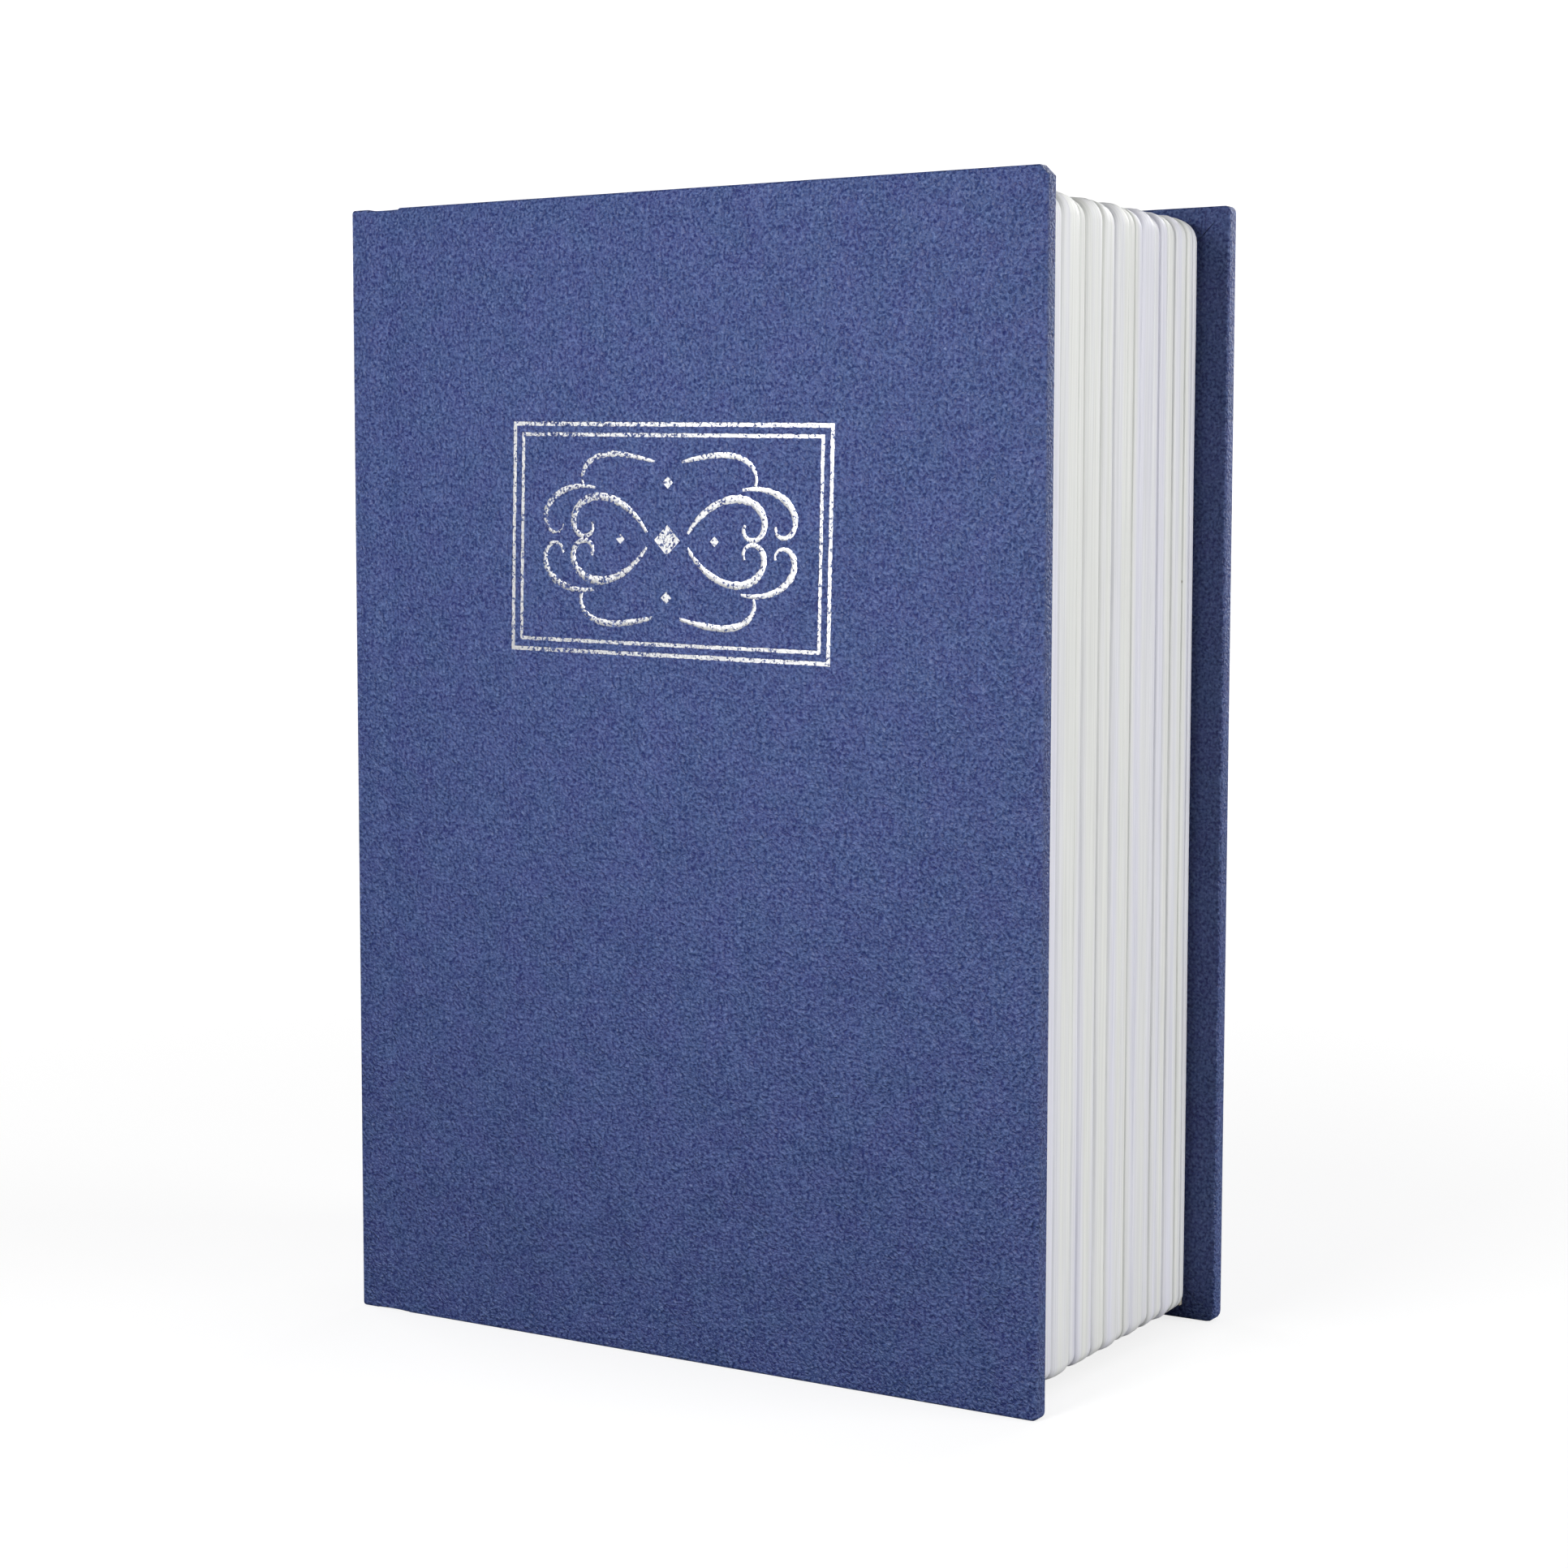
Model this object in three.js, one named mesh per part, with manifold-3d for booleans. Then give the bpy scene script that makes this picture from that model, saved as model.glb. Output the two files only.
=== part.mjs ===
// Book-shaped safe: a cloth-bound case, a moulded block of imitation pages and a small steel lock box.
// Millimetres, +Z up. The book stands on its tail, spine towards -X, front cover towards -Y.
// The origin is the centre of the bottom of the closed book.
import * as THREE from 'three';
import { mergeVertices } from 'three/addons/utils/BufferGeometryUtils.js';
import Module from 'manifold-3d';

const wasm = await Module();
wasm.setup();

// Driving dimensions of the closed book
const bookWidth = 80;
const bookThickness = 43;
const bookHeight = 115;

// Clearances
const glueLine = 0.05; // film of glue between two flat layers
const runningGap = 0.3; // between a piece and the one that moves, or sits loosely, in it
const cutOverrun = 1; // how far a cutting tool reaches past the piece
const weldDistance = 0.001; // corners closer than this are one corner

// Cover boards and the sheets on them
const boardThickness = 1.3;
const clothThickness = 0.3;
const liningThickness = 0.15;
const coverCornerRadius = 1.1;
const coverEdgeRadius = 0.5;
const turnInWidth = 11; // leatherette folded round to the inside
const mitreSlit = 0.2; // between two turn-ins, along the corner's diagonal
const mitreInset = 1.6; // the slit ends this far from the edges of the cover
const liningMargin = 4; // leatherette left bare round the paper lining

// Cloth joint between the spine and a cover
const jointWidth = 4.2;
const jointDip = 0.25; // how far the cloth sinks between the boards
const jointBlend = 0.9; // length of the slope at either side of the dip

// Double line pressed into the front cover
const frameWidth = 37.4;
const frameHeight = 23.2;
const frameCentreX = -1;
const frameHeadGap = 23; // head of the cover to the frame
const frameOuterLine = 0.52;
const frameLineGap = 0.42;
const frameInnerLine = 0.48;
const frameDepth = 0.08;

// Block of imitation pages
const pageSquareEnds = 1.5; // covers stand proud of the pages at head and tail
const pageSquareFore = 3; // covers stand proud of the pages at the fore-edge
const pageCornerRadius = 2.3;
const spineCornerRadius = 0.5;
const pageGrooveDepth = 0.55;
const pageWall = 1.6;
const pocketWall = 1.2;
const webThickness = 1.2; // stiffening webs between the two walls of the block
const backingThickness = 0.5;
const backingDrop = 5; // the backing sheet ends this far below the head of the pages

// Steel box and its door
const sheetThickness = 0.8;
const boxCornerRadius = 2.4;
const boxSpineSetback = 10.15; // box wall to the glued side of the pages
const boxForeSetback = 6.6; // box wall to the fore-edge of the pages
const boxEndSetback = 6.5; // box walls to the head and tail of the pages
const lipWidth = 5; // lip on the fore-edge side, which the cam hooks behind
const lipWidthEnds = 4; // lip at head and tail
const doorSkirtDepth = 3; // inside depth of the door's skirt
const doorEdgeRadius = 0.5;
const doorRecess = 1.8; // door face below the front of the pages
const pocketGap = 0.5; // round the door's skirt

// Piano hinge of the door
const pinRadius = 1;
const knuckleGap = 0.4; // between two knuckles along the pin
const knuckleSweep = 290; // degrees of the rolled curl
const hingeEndInset = 12; // last knuckle to the end of the door
const pinOverhang = 0.8;
const doorEdgePastAxis = 1; // the door covers the box wall above and below the hinge
const knuckleShares = [0, 0.2, 0.4, 0.6, 0.8, 1];

// Cam lock
const lockSetback = 14.4; // lock axis to the outer face of the box wall at the fore-edge
const lockHeadRadius = 8;
const lockHeadThickness = 1.4;
const lockHeadChamfer = 0.4;
const lockBodyRadius = 6;
const lockBodyLength = 13.5;
const lockFlatHalf = 5.25; // axis to either flat of the body
const lockBoreRadius = 4.5;
const counterboreRadius = 5.2;
const counterboreDepth = 1.2;
const plugRecess = 0.2;
const channelHalfWidth = 3; // wafer channels broached in the bore
const channelDepth = 0.8;
const channelFrontWall = 2.6;
const stopRise = 0.9; // rim on the rear of the body that stops the quarter turn
const keyHalfWidth = 0.8;
const keyHalfHeight = 3.2;
const bossHalf = 2.6; // square on the rear of the plug
const washerRadius = 8;
const washerThickness = 0.6;
const nutAcrossFlats = 14;
const nutThickness = 2.8;
const nutChamfer = 0.3;

// Wafers in the plug
const waferCount = 4;
const waferPitch = 2.5;
const waferThickness = 0.6;
const waferHalfWidth = 2.6;
const waferRadius = 3.9;
const waferFirst = 3.4; // first wafer behind the front of the plug
const waferWindowHalfWidth = 1.2;
const waferWindowHalfHeight = 2.1;
const waferCutStep = 0.35; // one depth step of the key's cuts
const waferCutShares = [1, -1, 0, 2];

// Stop washer, cam and screw
const stopThickness = 0.8;
const stopEarHalf = 1.2;
const stopEarReach = 5.7;
const camThickness = 1.4;
const camDiscRadius = 6.2;
const camHalfWidth = 3;
const camTipGap = 1.3; // end of the cam to the inside of the box wall
const camFlat = 1; // straight part of the arm past the disc
const camCrankLength = 2.2; // slope by which the arm steps forward
const screwHeadRadius = 3.1;
const screwHeadThickness = 1.3;
const screwShankRadius = 1.4;
const screwLength = 3.4;
const slotHalfWidth = 0.4;
const slotDepth = 0.6;

// Edges of the page bundles from the front of the block to the back, as shares of its thickness
const bundleEdgeShares = [
  0, 0.06, 0.12, 0.183, 0.287, 0.32, 0.418, 0.49, 0.572, 0.609, 0.651,
  0.731, 0.765, 0.811, 0.855, 0.904, 0.933, 0.971, 1,
];
// Depth of the groove at each of those edges, as shares of the full groove
const grooveShares = [
  0.3, 0.7, 0.6, 0.45, 0.7, 1, 1, 0.95, 0.55, 1, 0.5,
  0.55, 1, 0.7, 1, 0.5, 0.8, 1, 0.4,
];
// How far the crest of each bundle lies below the outermost one, as shares of the full groove
const crestShares = [
  0.1, 0.25, 0.2, 0, 0.3, 0.05, 0.1, 0, 0.25, 0.15,
  0.05, 0.3, 0.1, 0.2, 0, 0.35, 0.15, 0.1,
];
const bundleStepShares = [0, 0.1, 0.3, 0.6, 0.88];
const webShares = [0.2, 0.5, 0.8];

// Counts of facets
const cornerSteps = 5;
const edgeSteps = 3;
const roundSteps = 40;
const knuckleSteps = 20;
const jointSteps = 8;
const quarterTurn = Math.PI / 2;

// Places worked out from the dimensions
const spineX = -bookWidth / 2;
const foreX = bookWidth / 2;
const frontY = -bookThickness / 2;
const backY = bookThickness / 2;
const clothStack = clothThickness + glueLine;
const coverThickness = boardThickness + 2 * clothStack;
const boardStartX = spineX + coverThickness + jointWidth;
const hingeX = spineX + coverThickness + jointWidth / 2;
const liningStack = glueLine + liningThickness;

const pageFrontY = frontY + coverThickness + liningStack + runningGap;
const backingBackY = backY - coverThickness - liningStack - glueLine;
const pageBackY = backingBackY - backingThickness - glueLine;
const pageSpineX = spineX + coverThickness + liningStack + glueLine;
const pageForeX = foreX - pageSquareFore;
const pageTailZ = pageSquareEnds;
const pageHeadZ = bookHeight - pageSquareEnds;
const middleZ = bookHeight / 2;

const boxForeX = pageForeX - boxForeSetback;
const boxSpineX = pageSpineX + boxSpineSetback;
const boxTailZ = pageTailZ + boxEndSetback;
const boxHeadZ = pageHeadZ - boxEndSetback;
const doorFrontY = pageFrontY + doorRecess;
const doorInnerY = doorFrontY + sheetThickness;
const boxFrontY = doorInnerY + runningGap;
const lipBackY = boxFrontY + sheetThickness;
const skirtBackY = doorInnerY + doorSkirtDepth;
const skirtReach = runningGap + sheetThickness;
const doorForeX = boxForeX + skirtReach;
const doorTailZ = boxTailZ - skirtReach;
const doorHeadZ = boxHeadZ + skirtReach;
const doorCornerRadius = boxCornerRadius + skirtReach;

const curlInner = pinRadius + runningGap;
const curlOuter = curlInner + sheetThickness;
const pinX = boxSpineX - curlInner;
const pinY = doorFrontY + curlOuter;
const barrelTailZ = doorTailZ + hingeEndInset;
const barrelHeadZ = doorHeadZ - hingeEndInset;
const barrelLength = barrelHeadZ - barrelTailZ;
const doorSpineX = pinX + doorEdgePastAxis;
const barrelClearX = pinX + curlOuter + knuckleGap;
const barrelClearY = pinY + curlOuter + knuckleGap;

const pocketForeX = doorForeX + pocketGap;
const pocketSpineX = pinX - curlOuter - pocketGap - runningGap - doorEdgeRadius;
const pocketTailZ = doorTailZ - pocketGap;
const pocketHeadZ = doorHeadZ + pocketGap;
const ledgeY = barrelClearY + runningGap;

const lockX = boxForeX - lockSetback;
const lockZ = middleZ;
const lockFaceY = doorFrontY - glueLine - lockHeadThickness;
const lockRearY = doorFrontY + lockBodyLength;
const plugFrontY = lockFaceY + plugRecess;
const plugRadius = lockBoreRadius - runningGap;
const plugShoulderY = lockRearY + runningGap;
const lastWafer = waferFirst + (waferCount - 1) * waferPitch;
const keyDepth = lastWafer + waferThickness / 2 + runningGap;
const stopFrontY = plugShoulderY + glueLine;
const camFrontY = stopFrontY + stopThickness + glueLine;
const camBackY = camFrontY + camThickness;
const bossBackY = camBackY - glueLine;
const camTipFrontY = lipBackY + runningGap + glueLine;
const camReach = lockSetback - sheetThickness - camTipGap;
const camElbow = camDiscRadius + camFlat;
const camKnee = camElbow + camCrankLength;

// Laying drawn shapes into the model
const axisX = new THREE.Vector3(1, 0, 0);
const axisY = new THREE.Vector3(0, 1, 0);
const axisZ = new THREE.Vector3(0, 0, 1);
// drawn as seen from the front, extruded towards the front
const frontView = new THREE.Matrix4().makeBasis(axisX, axisZ, axisY.clone().negate());
// drawn with its x along +Y and its y along +Z, extruded towards +X
const sideView = new THREE.Matrix4().makeBasis(axisY, axisZ, axisX);

// Closed, merged copy of a geometry, without its collapsed triangles and with its faces outwards
function weld(geometry) {
  const bare = new THREE.BufferGeometry();
  bare.setAttribute('position', geometry.getAttribute('position'));
  bare.setIndex(geometry.getIndex());
  const merged = mergeVertices(bare, weldDistance);
  const corners = merged.getIndex().array;
  const points = merged.getAttribute('position');
  const kept = [];
  const a = new THREE.Vector3();
  const b = new THREE.Vector3();
  const c = new THREE.Vector3();
  let volume = 0;
  for (let i = 0; i < corners.length; i += 3) {
    const [p, q, r] = [corners[i], corners[i + 1], corners[i + 2]];
    if (p === q || q === r || r === p) continue;
    kept.push(p, q, r);
    a.fromBufferAttribute(points, p);
    b.fromBufferAttribute(points, q);
    c.fromBufferAttribute(points, r);
    volume += a.dot(b.cross(c));
  }
  if (volume < 0) kept.reverse();
  merged.setIndex(kept);
  return merged;
}

// Geometry as a solid that can be joined and cut
function toSolid(geometry) {
  const welded = weld(geometry);
  const vertProperties = Float32Array.from(welded.getAttribute('position').array);
  const triVerts = Uint32Array.from(welded.getIndex().array);
  return new wasm.Manifold(new wasm.Mesh({ numProp: 3, vertProperties, triVerts }));
}

// Solid as a geometry again
function toGeometry(solid) {
  const mesh = solid.getMesh();
  const geometry = new THREE.BufferGeometry();
  geometry.setAttribute('position', new THREE.BufferAttribute(mesh.vertProperties, 3));
  geometry.setIndex(new THREE.BufferAttribute(mesh.triVerts, 1));
  geometry.computeVertexNormals();
  return geometry;
}

const join = (first, ...others) => others.reduce((whole, other) => whole.add(other), first);
const cut = (first, ...tools) => tools.reduce((whole, tool) => whole.subtract(tool), first);

// Rounded rectangle; radii run from the lower left corner anticlockwise
function roundedOutline(left, right, bottom, top, radii) {
  const centres = [
    [left + radii[0], bottom + radii[0]],
    [right - radii[1], bottom + radii[1]],
    [right - radii[2], top - radii[2]],
    [left + radii[3], top - radii[3]],
  ];
  const points = [];
  centres.forEach(([x, y], corner) => {
    const steps = radii[corner] > 0 ? cornerSteps : 0;
    for (let step = 0; step <= steps; step += 1) {
      const angle = quarterTurn * (2 + corner + (steps ? step / steps : 0));
      const reach = radii[corner];
      points.push(new THREE.Vector2(x + reach * Math.cos(angle), y + reach * Math.sin(angle)));
    }
  });
  return points;
}

// Plate from an outline, extruded and laid by a view; edge rounds both rims
function plate(outline, view, from, to, edge = 0) {
  const geometry = new THREE.ExtrudeGeometry(new THREE.Shape(outline), {
    depth: to - from - 2 * edge,
    bevelEnabled: edge > 0,
    bevelThickness: edge,
    bevelSize: edge,
    bevelOffset: -edge,
    bevelSegments: edgeSteps,
  });
  geometry.translate(0, 0, from + edge);
  geometry.applyMatrix4(view);
  return toSolid(geometry);
}

// Upright plate drawn from the front, between two depths
const frontPlate = (outline, nearY, farY, edge) => plate(outline, frontView, -farY, -nearY, edge);

// Plain block between two corners
function block(x, y, z) {
  const geometry = new THREE.BoxGeometry(x[1] - x[0], y[1] - y[0], z[1] - z[0]);
  geometry.translate((x[0] + x[1]) / 2, (y[0] + y[1]) / 2, (z[0] + z[1]) / 2);
  return toSolid(geometry);
}

// Bent sheet: a line of points in plan, thickened to its left, standing between two heights
function bentSheet(points, thickness, tailZ, headZ) {
  const left = points.map((point, i) => {
    const before = point.clone().sub(points[Math.max(i - 1, 0)]).normalize();
    const after = points[Math.min(i + 1, points.length - 1)].clone().sub(point).normalize();
    const along = before.add(after).normalize();
    const normal = new THREE.Vector2(-along.y, along.x);
    const other = i > 0 ? point.clone().sub(points[i - 1]) : points[i + 1].clone().sub(point);
    const square = new THREE.Vector2(-other.y, other.x).normalize();
    return point.clone().addScaledVector(normal, thickness / normal.dot(square));
  });
  const outline = new THREE.Shape([...points, ...left.reverse()]);
  const geometry = new THREE.ExtrudeGeometry(outline, { depth: headZ - tailZ, bevelEnabled: false });
  geometry.translate(0, 0, tailZ);
  return toSolid(geometry);
}

// Turned piece on the lock's axis, from a profile of radius and depth
function turned(profile) {
  const points = profile.map(([radius, y]) => new THREE.Vector2(radius, y));
  const geometry = new THREE.LatheGeometry([...points, points[0]], roundSteps);
  geometry.translate(lockX, 0, lockZ);
  return toSolid(geometry);
}

const disc = (radius, nearY, farY) => turned([[0, nearY], [radius, nearY], [radius, farY], [0, farY]]);

// Depth of the cloth's outer face along the joint, from the spine board to the cover board
function jointLine(fromX, toX, wallY, inward) {
  const points = [];
  const startX = boardStartX - jointWidth;
  for (let step = 0; step <= jointSteps; step += 1) {
    const x = fromX + (toX - fromX) * (step / jointSteps);
    const rise = Math.min(1, Math.max(0, Math.min(x - startX, boardStartX - x) / jointBlend));
    const dip = jointDip * (1 - Math.cos(Math.PI * rise)) / 2;
    points.push(new THREE.Vector2(x, wallY + inward * dip));
  }
  return points;
}

// Cloth over a joint, with a second layer where it is turned in at head and tail
function jointCloth(fromX, toX, wallY, inward) {
  const line = jointLine(fromX, toX, wallY, inward);
  if (inward < 0) line.reverse();
  const folded = 2 * clothThickness;
  return join(
    bentSheet(line, clothThickness, jointDip, bookHeight - jointDip),
    bentSheet(line, folded, jointDip, turnInWidth),
    bentSheet(line, folded, bookHeight - turnInWidth, bookHeight - jointDip),
  );
}

// Leatherette round one cover board: outer face, three wrapped edges and mitred turn-ins
function coverCloth(outerY, inward) {
  const span = (near, far) => (inward > 0 ? [outerY + near, outerY + far] : [outerY - far, outerY - near]);
  const sheet = (inset, startX, near, far, edge) => {
    const radius = coverCornerRadius - inset;
    const radii = [0, radius, radius, 0];
    const outline = roundedOutline(startX, foreX - inset, inset, bookHeight - inset, radii);
    return frontPlate(outline, ...span(near, far), edge);
  };
  const outer = sheet(0, boardStartX - 2 * coverEdgeRadius, 0, coverThickness, coverEdgeRadius);
  const pastSpine = block(
    [boardStartX - 2 * coverEdgeRadius - cutOverrun, boardStartX],
    span(-cutOverrun, coverThickness + cutOverrun),
    [-cutOverrun, bookHeight + cutOverrun],
  );
  const innerFace = coverThickness - clothThickness;
  const boardSpace = sheet(clothThickness, boardStartX - cutOverrun, clothThickness, innerFace);
  const window = block(
    [boardStartX - cutOverrun, foreX - turnInWidth],
    span(innerFace - cutOverrun / 2, coverThickness + cutOverrun),
    [turnInWidth, bookHeight - turnInWidth],
  );
  const slitY = outerY + inward * (coverThickness + (cutOverrun - clothThickness) / 2);
  const slits = [turnInWidth, bookHeight - turnInWidth].map((windowZ, end) => {
    const length = (turnInWidth - mitreInset) * Math.SQRT2;
    const slit = new THREE.BoxGeometry(length, clothThickness + cutOverrun, mitreSlit);
    slit.translate(length / 2 - mitreSlit, 0, 0);
    slit.rotateY(end ? -quarterTurn / 2 : quarterTurn / 2);
    slit.translate(foreX - turnInWidth, slitY, windowZ);
    return toSolid(slit);
  });
  return cut(outer, pastSpine, boardSpace, window, ...slits);
}

// Greyboard of one cover
function coverBoard(outerY, inward) {
  const near = outerY + inward * clothStack;
  const far = outerY + inward * (clothStack + boardThickness);
  const radius = coverCornerRadius - clothStack;
  const outline = roundedOutline(
    boardStartX, foreX - clothStack, clothStack, bookHeight - clothStack, [0, radius, radius, 0]);
  return frontPlate(outline, Math.min(near, far), Math.max(near, far));
}

// Leatherette round the spine board, turned in at head and tail only
function spineCloth() {
  const inside = spineX + coverThickness;
  const outline = roundedOutline(frontY, backY, 0, bookHeight, [0, 0, 0, 0]);
  const wrapped = plate(outline, sideView, spineX, inside + 2 * coverEdgeRadius, coverEdgeRadius);
  const pastInside = block(
    [inside, inside + 2 * coverEdgeRadius + cutOverrun],
    [frontY - cutOverrun, backY + cutOverrun],
    [-cutOverrun, bookHeight + cutOverrun],
  );
  const boardSpace = block(
    [spineX + clothThickness, inside - clothThickness],
    [frontY + clothThickness, backY - clothThickness],
    [clothThickness, bookHeight - clothThickness],
  );
  const window = block(
    [inside - clothThickness - glueLine, inside + cutOverrun],
    [frontY + clothThickness, backY - clothThickness],
    [turnInWidth, bookHeight - turnInWidth],
  );
  return cut(wrapped, pastInside, boardSpace, window);
}

function spineBoard() {
  return block(
    [spineX + clothStack, spineX + clothStack + boardThickness],
    [frontY + clothStack, backY - clothStack],
    [clothStack, bookHeight - clothStack],
  );
}

// One line of the pressed frame, between two insets from its outer edge
function frameLine(outerInset, innerInset) {
  const headZ = bookHeight - frameHeadGap;
  const panel = (inset, reach) => block(
    [frameCentreX - frameWidth / 2 + inset, frameCentreX + frameWidth / 2 - inset],
    [frontY - reach, frontY + frameDepth + reach - cutOverrun],
    [headZ - frameHeight + inset, headZ - inset]);
  return cut(panel(outerInset, cutOverrun), panel(innerInset, 2 * cutOverrun));
}

function frontCoverLeatherette() {
  const strip = jointCloth(hingeX + runningGap / 2, boardStartX + clothThickness, frontY, 1);
  const boardSide = block(
    [boardStartX - glueLine, boardStartX + cutOverrun],
    [frontY + clothThickness, frontY + coverThickness],
    [-cutOverrun, bookHeight + cutOverrun],
  );
  const innerLine = frameOuterLine + frameLineGap;
  const frame = [frameLine(0, frameOuterLine), frameLine(innerLine, innerLine + frameInnerLine)];
  return cut(join(coverCloth(frontY, 1), cut(strip, boardSide)), ...frame);
}

function caseLeatherette() {
  const inside = spineX + coverThickness;
  const frontStrip = jointCloth(inside - clothThickness, hingeX - runningGap / 2, frontY, 1);
  const backStrip = jointCloth(inside - clothThickness, boardStartX + clothThickness, backY, -1);
  const boardSide = block(
    [boardStartX - glueLine, boardStartX + cutOverrun],
    [backY - coverThickness, backY - clothThickness],
    [-cutOverrun, bookHeight + cutOverrun],
  );
  const spineSide = block(
    [spineX + clothThickness, inside - clothThickness + cutOverrun / 2],
    [frontY + clothThickness, backY - clothThickness],
    [clothThickness, bookHeight - clothThickness],
  );
  const strips = [cut(frontStrip, spineSide), cut(backStrip, spineSide, boardSide)];
  return join(coverCloth(backY, -1), spineCloth(), ...strips);
}

// Paper lining of the front cover, pressed down into the joint as far as the fold line
function frontPastedown() {
  const sheetY = frontY + coverThickness + glueLine;
  const jointY = frontY + jointDip + 2 * clothThickness + glueLine;
  const wallX = boardStartX - glueLine;
  const line = [
    new THREE.Vector2(hingeX + runningGap / 2, jointY),
    new THREE.Vector2(wallX - liningThickness, jointY),
    new THREE.Vector2(wallX - liningThickness, sheetY),
    new THREE.Vector2(foreX - liningMargin, sheetY),
  ];
  return bentSheet(line, liningThickness, liningMargin, bookHeight - liningMargin);
}

function backPastedown() {
  const innerY = backY - coverThickness - glueLine;
  const outline = roundedOutline(
    boardStartX, foreX - liningMargin, liningMargin, bookHeight - liningMargin, [0, 0, 0, 0]);
  return frontPlate(outline, innerY - liningThickness, innerY);
}

// Paper inside the spine, from the front fold line to the back board
function spineLining() {
  const inside = spineX + coverThickness + glueLine;
  const jointDepth = jointDip + 2 * clothThickness + glueLine;
  const line = [
    new THREE.Vector2(boardStartX - glueLine, backY - jointDepth),
    new THREE.Vector2(inside, backY - jointDepth),
    new THREE.Vector2(inside, frontY + jointDepth),
    new THREE.Vector2(hingeX - runningGap / 2, frontY + jointDepth),
  ];
  return bentSheet(line, liningThickness, liningMargin, bookHeight - liningMargin);
}

// Closed skin over rings of points, with flat ends
function loft(rings) {
  const count = rings[0].length;
  const positions = rings.flat().flatMap((point) => point.toArray());
  const index = [];
  for (let ring = 0; ring < rings.length - 1; ring += 1) {
    for (let i = 0; i < count; i += 1) {
      const a = ring * count + i;
      const b = ring * count + ((i + 1) % count);
      index.push(a, b, b + count, a, b + count, a + count);
    }
  }
  const last = (rings.length - 1) * count;
  for (let i = 1; i < count - 1; i += 1) {
    index.push(0, i + 1, i, last, last + i, last + i + 1);
  }
  const geometry = new THREE.BufferGeometry();
  geometry.setAttribute('position', new THREE.Float32BufferAttribute(positions, 3));
  geometry.setIndex(index);
  return toSolid(geometry);
}

// Depth and inset of each station across the page edges: grooves at the bundle edges, crests between
function pageStations() {
  const thickness = pageBackY - pageFrontY;
  const stations = [];
  const bundles = bundleEdgeShares.length - 1;
  for (let bundle = 0; bundle < bundles; bundle += 1) {
    const from = bundleEdgeShares[bundle];
    const width = bundleEdgeShares[bundle + 1] - from;
    for (const step of bundleStepShares) {
      const edge = step < 0.5 ? grooveShares[bundle] : grooveShares[bundle + 1];
      const fall = Math.abs(2 * step - 1) ** 3;
      const inset = crestShares[bundle] + Math.max(0, edge - crestShares[bundle]) * fall;
      stations.push({ y: pageFrontY + thickness * (from + width * step), inset: inset * pageGrooveDepth });
    }
  }
  stations.push({ y: pageBackY, inset: grooveShares[bundles] * pageGrooveDepth });
  return stations;
}

// Outline of the page block at one inset from its full size; the glued spine side stays where it is
function pageOutline(inset, spineInset = 0) {
  const fore = Math.max(pageCornerRadius - inset / 2, spineCornerRadius);
  return roundedOutline(
    pageSpineX + spineInset, pageForeX - inset, pageTailZ + inset, pageHeadZ - inset,
    [spineCornerRadius, fore, fore, spineCornerRadius]);
}

// Outline of the box at one inset from its outer walls
function boxOutline(inset) {
  return roundedOutline(
    boxSpineX + inset, boxForeX - inset, boxTailZ + inset, boxHeadZ - inset,
    new Array(4).fill(boxCornerRadius - inset));
}

// Moulded block: ribbed outside, stepped pocket for the box, open channel with webs at the back
function pageBlock() {
  const ring = ({ y, inset }) => pageOutline(inset).map((point) => new THREE.Vector3(point.x, y, point.y));
  const body = loft(pageStations().map(ring));
  const doorPocket = frontPlate(
    roundedOutline(pocketSpineX, pocketForeX, pocketTailZ, pocketHeadZ,
      [spineCornerRadius, doorCornerRadius, doorCornerRadius, spineCornerRadius]),
    pageFrontY - cutOverrun, ledgeY);
  const boxPocket = frontPlate(boxOutline(-runningGap), ledgeY - cutOverrun, pageBackY + cutOverrun);
  return cut(body, doorPocket, boxPocket, backChannel());
}

function backChannel() {
  const nearY = pageFrontY + pageWall;
  const farY = pageBackY + cutOverrun;
  const wall = pageWall + pageGrooveDepth;
  const outer = frontPlate(pageOutline(wall, pageWall), nearY, farY);
  const island = frontPlate(
    roundedOutline(pocketSpineX - pocketWall, pocketForeX + pocketWall, pocketTailZ - pocketWall,
      pocketHeadZ + pocketWall, new Array(4).fill(spineCornerRadius)),
    nearY - cutOverrun, farY + cutOverrun);
  const half = webThickness / 2;
  const acrossZ = webShares.map((share) => {
    const z = pageTailZ + (pageHeadZ - pageTailZ) * share;
    return block([pageSpineX, pageForeX], [nearY - cutOverrun, farY + cutOverrun], [z - half, z + half]);
  });
  const acrossX = webShares.map((share) => {
    const x = pageSpineX + (pageForeX - pageSpineX) * share;
    return block([x - half, x + half], [nearY - cutOverrun, farY + cutOverrun], [pageTailZ, pageHeadZ]);
  });
  return cut(outer, island, ...acrossZ, ...acrossX);
}

function backingSheet() {
  const outline = roundedOutline(
    pageSpineX, pageForeX - pageGrooveDepth, pageTailZ + glueLine, pageHeadZ - backingDrop, [0, 0, 0, 0]);
  return frontPlate(outline, backingBackY - backingThickness, backingBackY);
}

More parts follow.
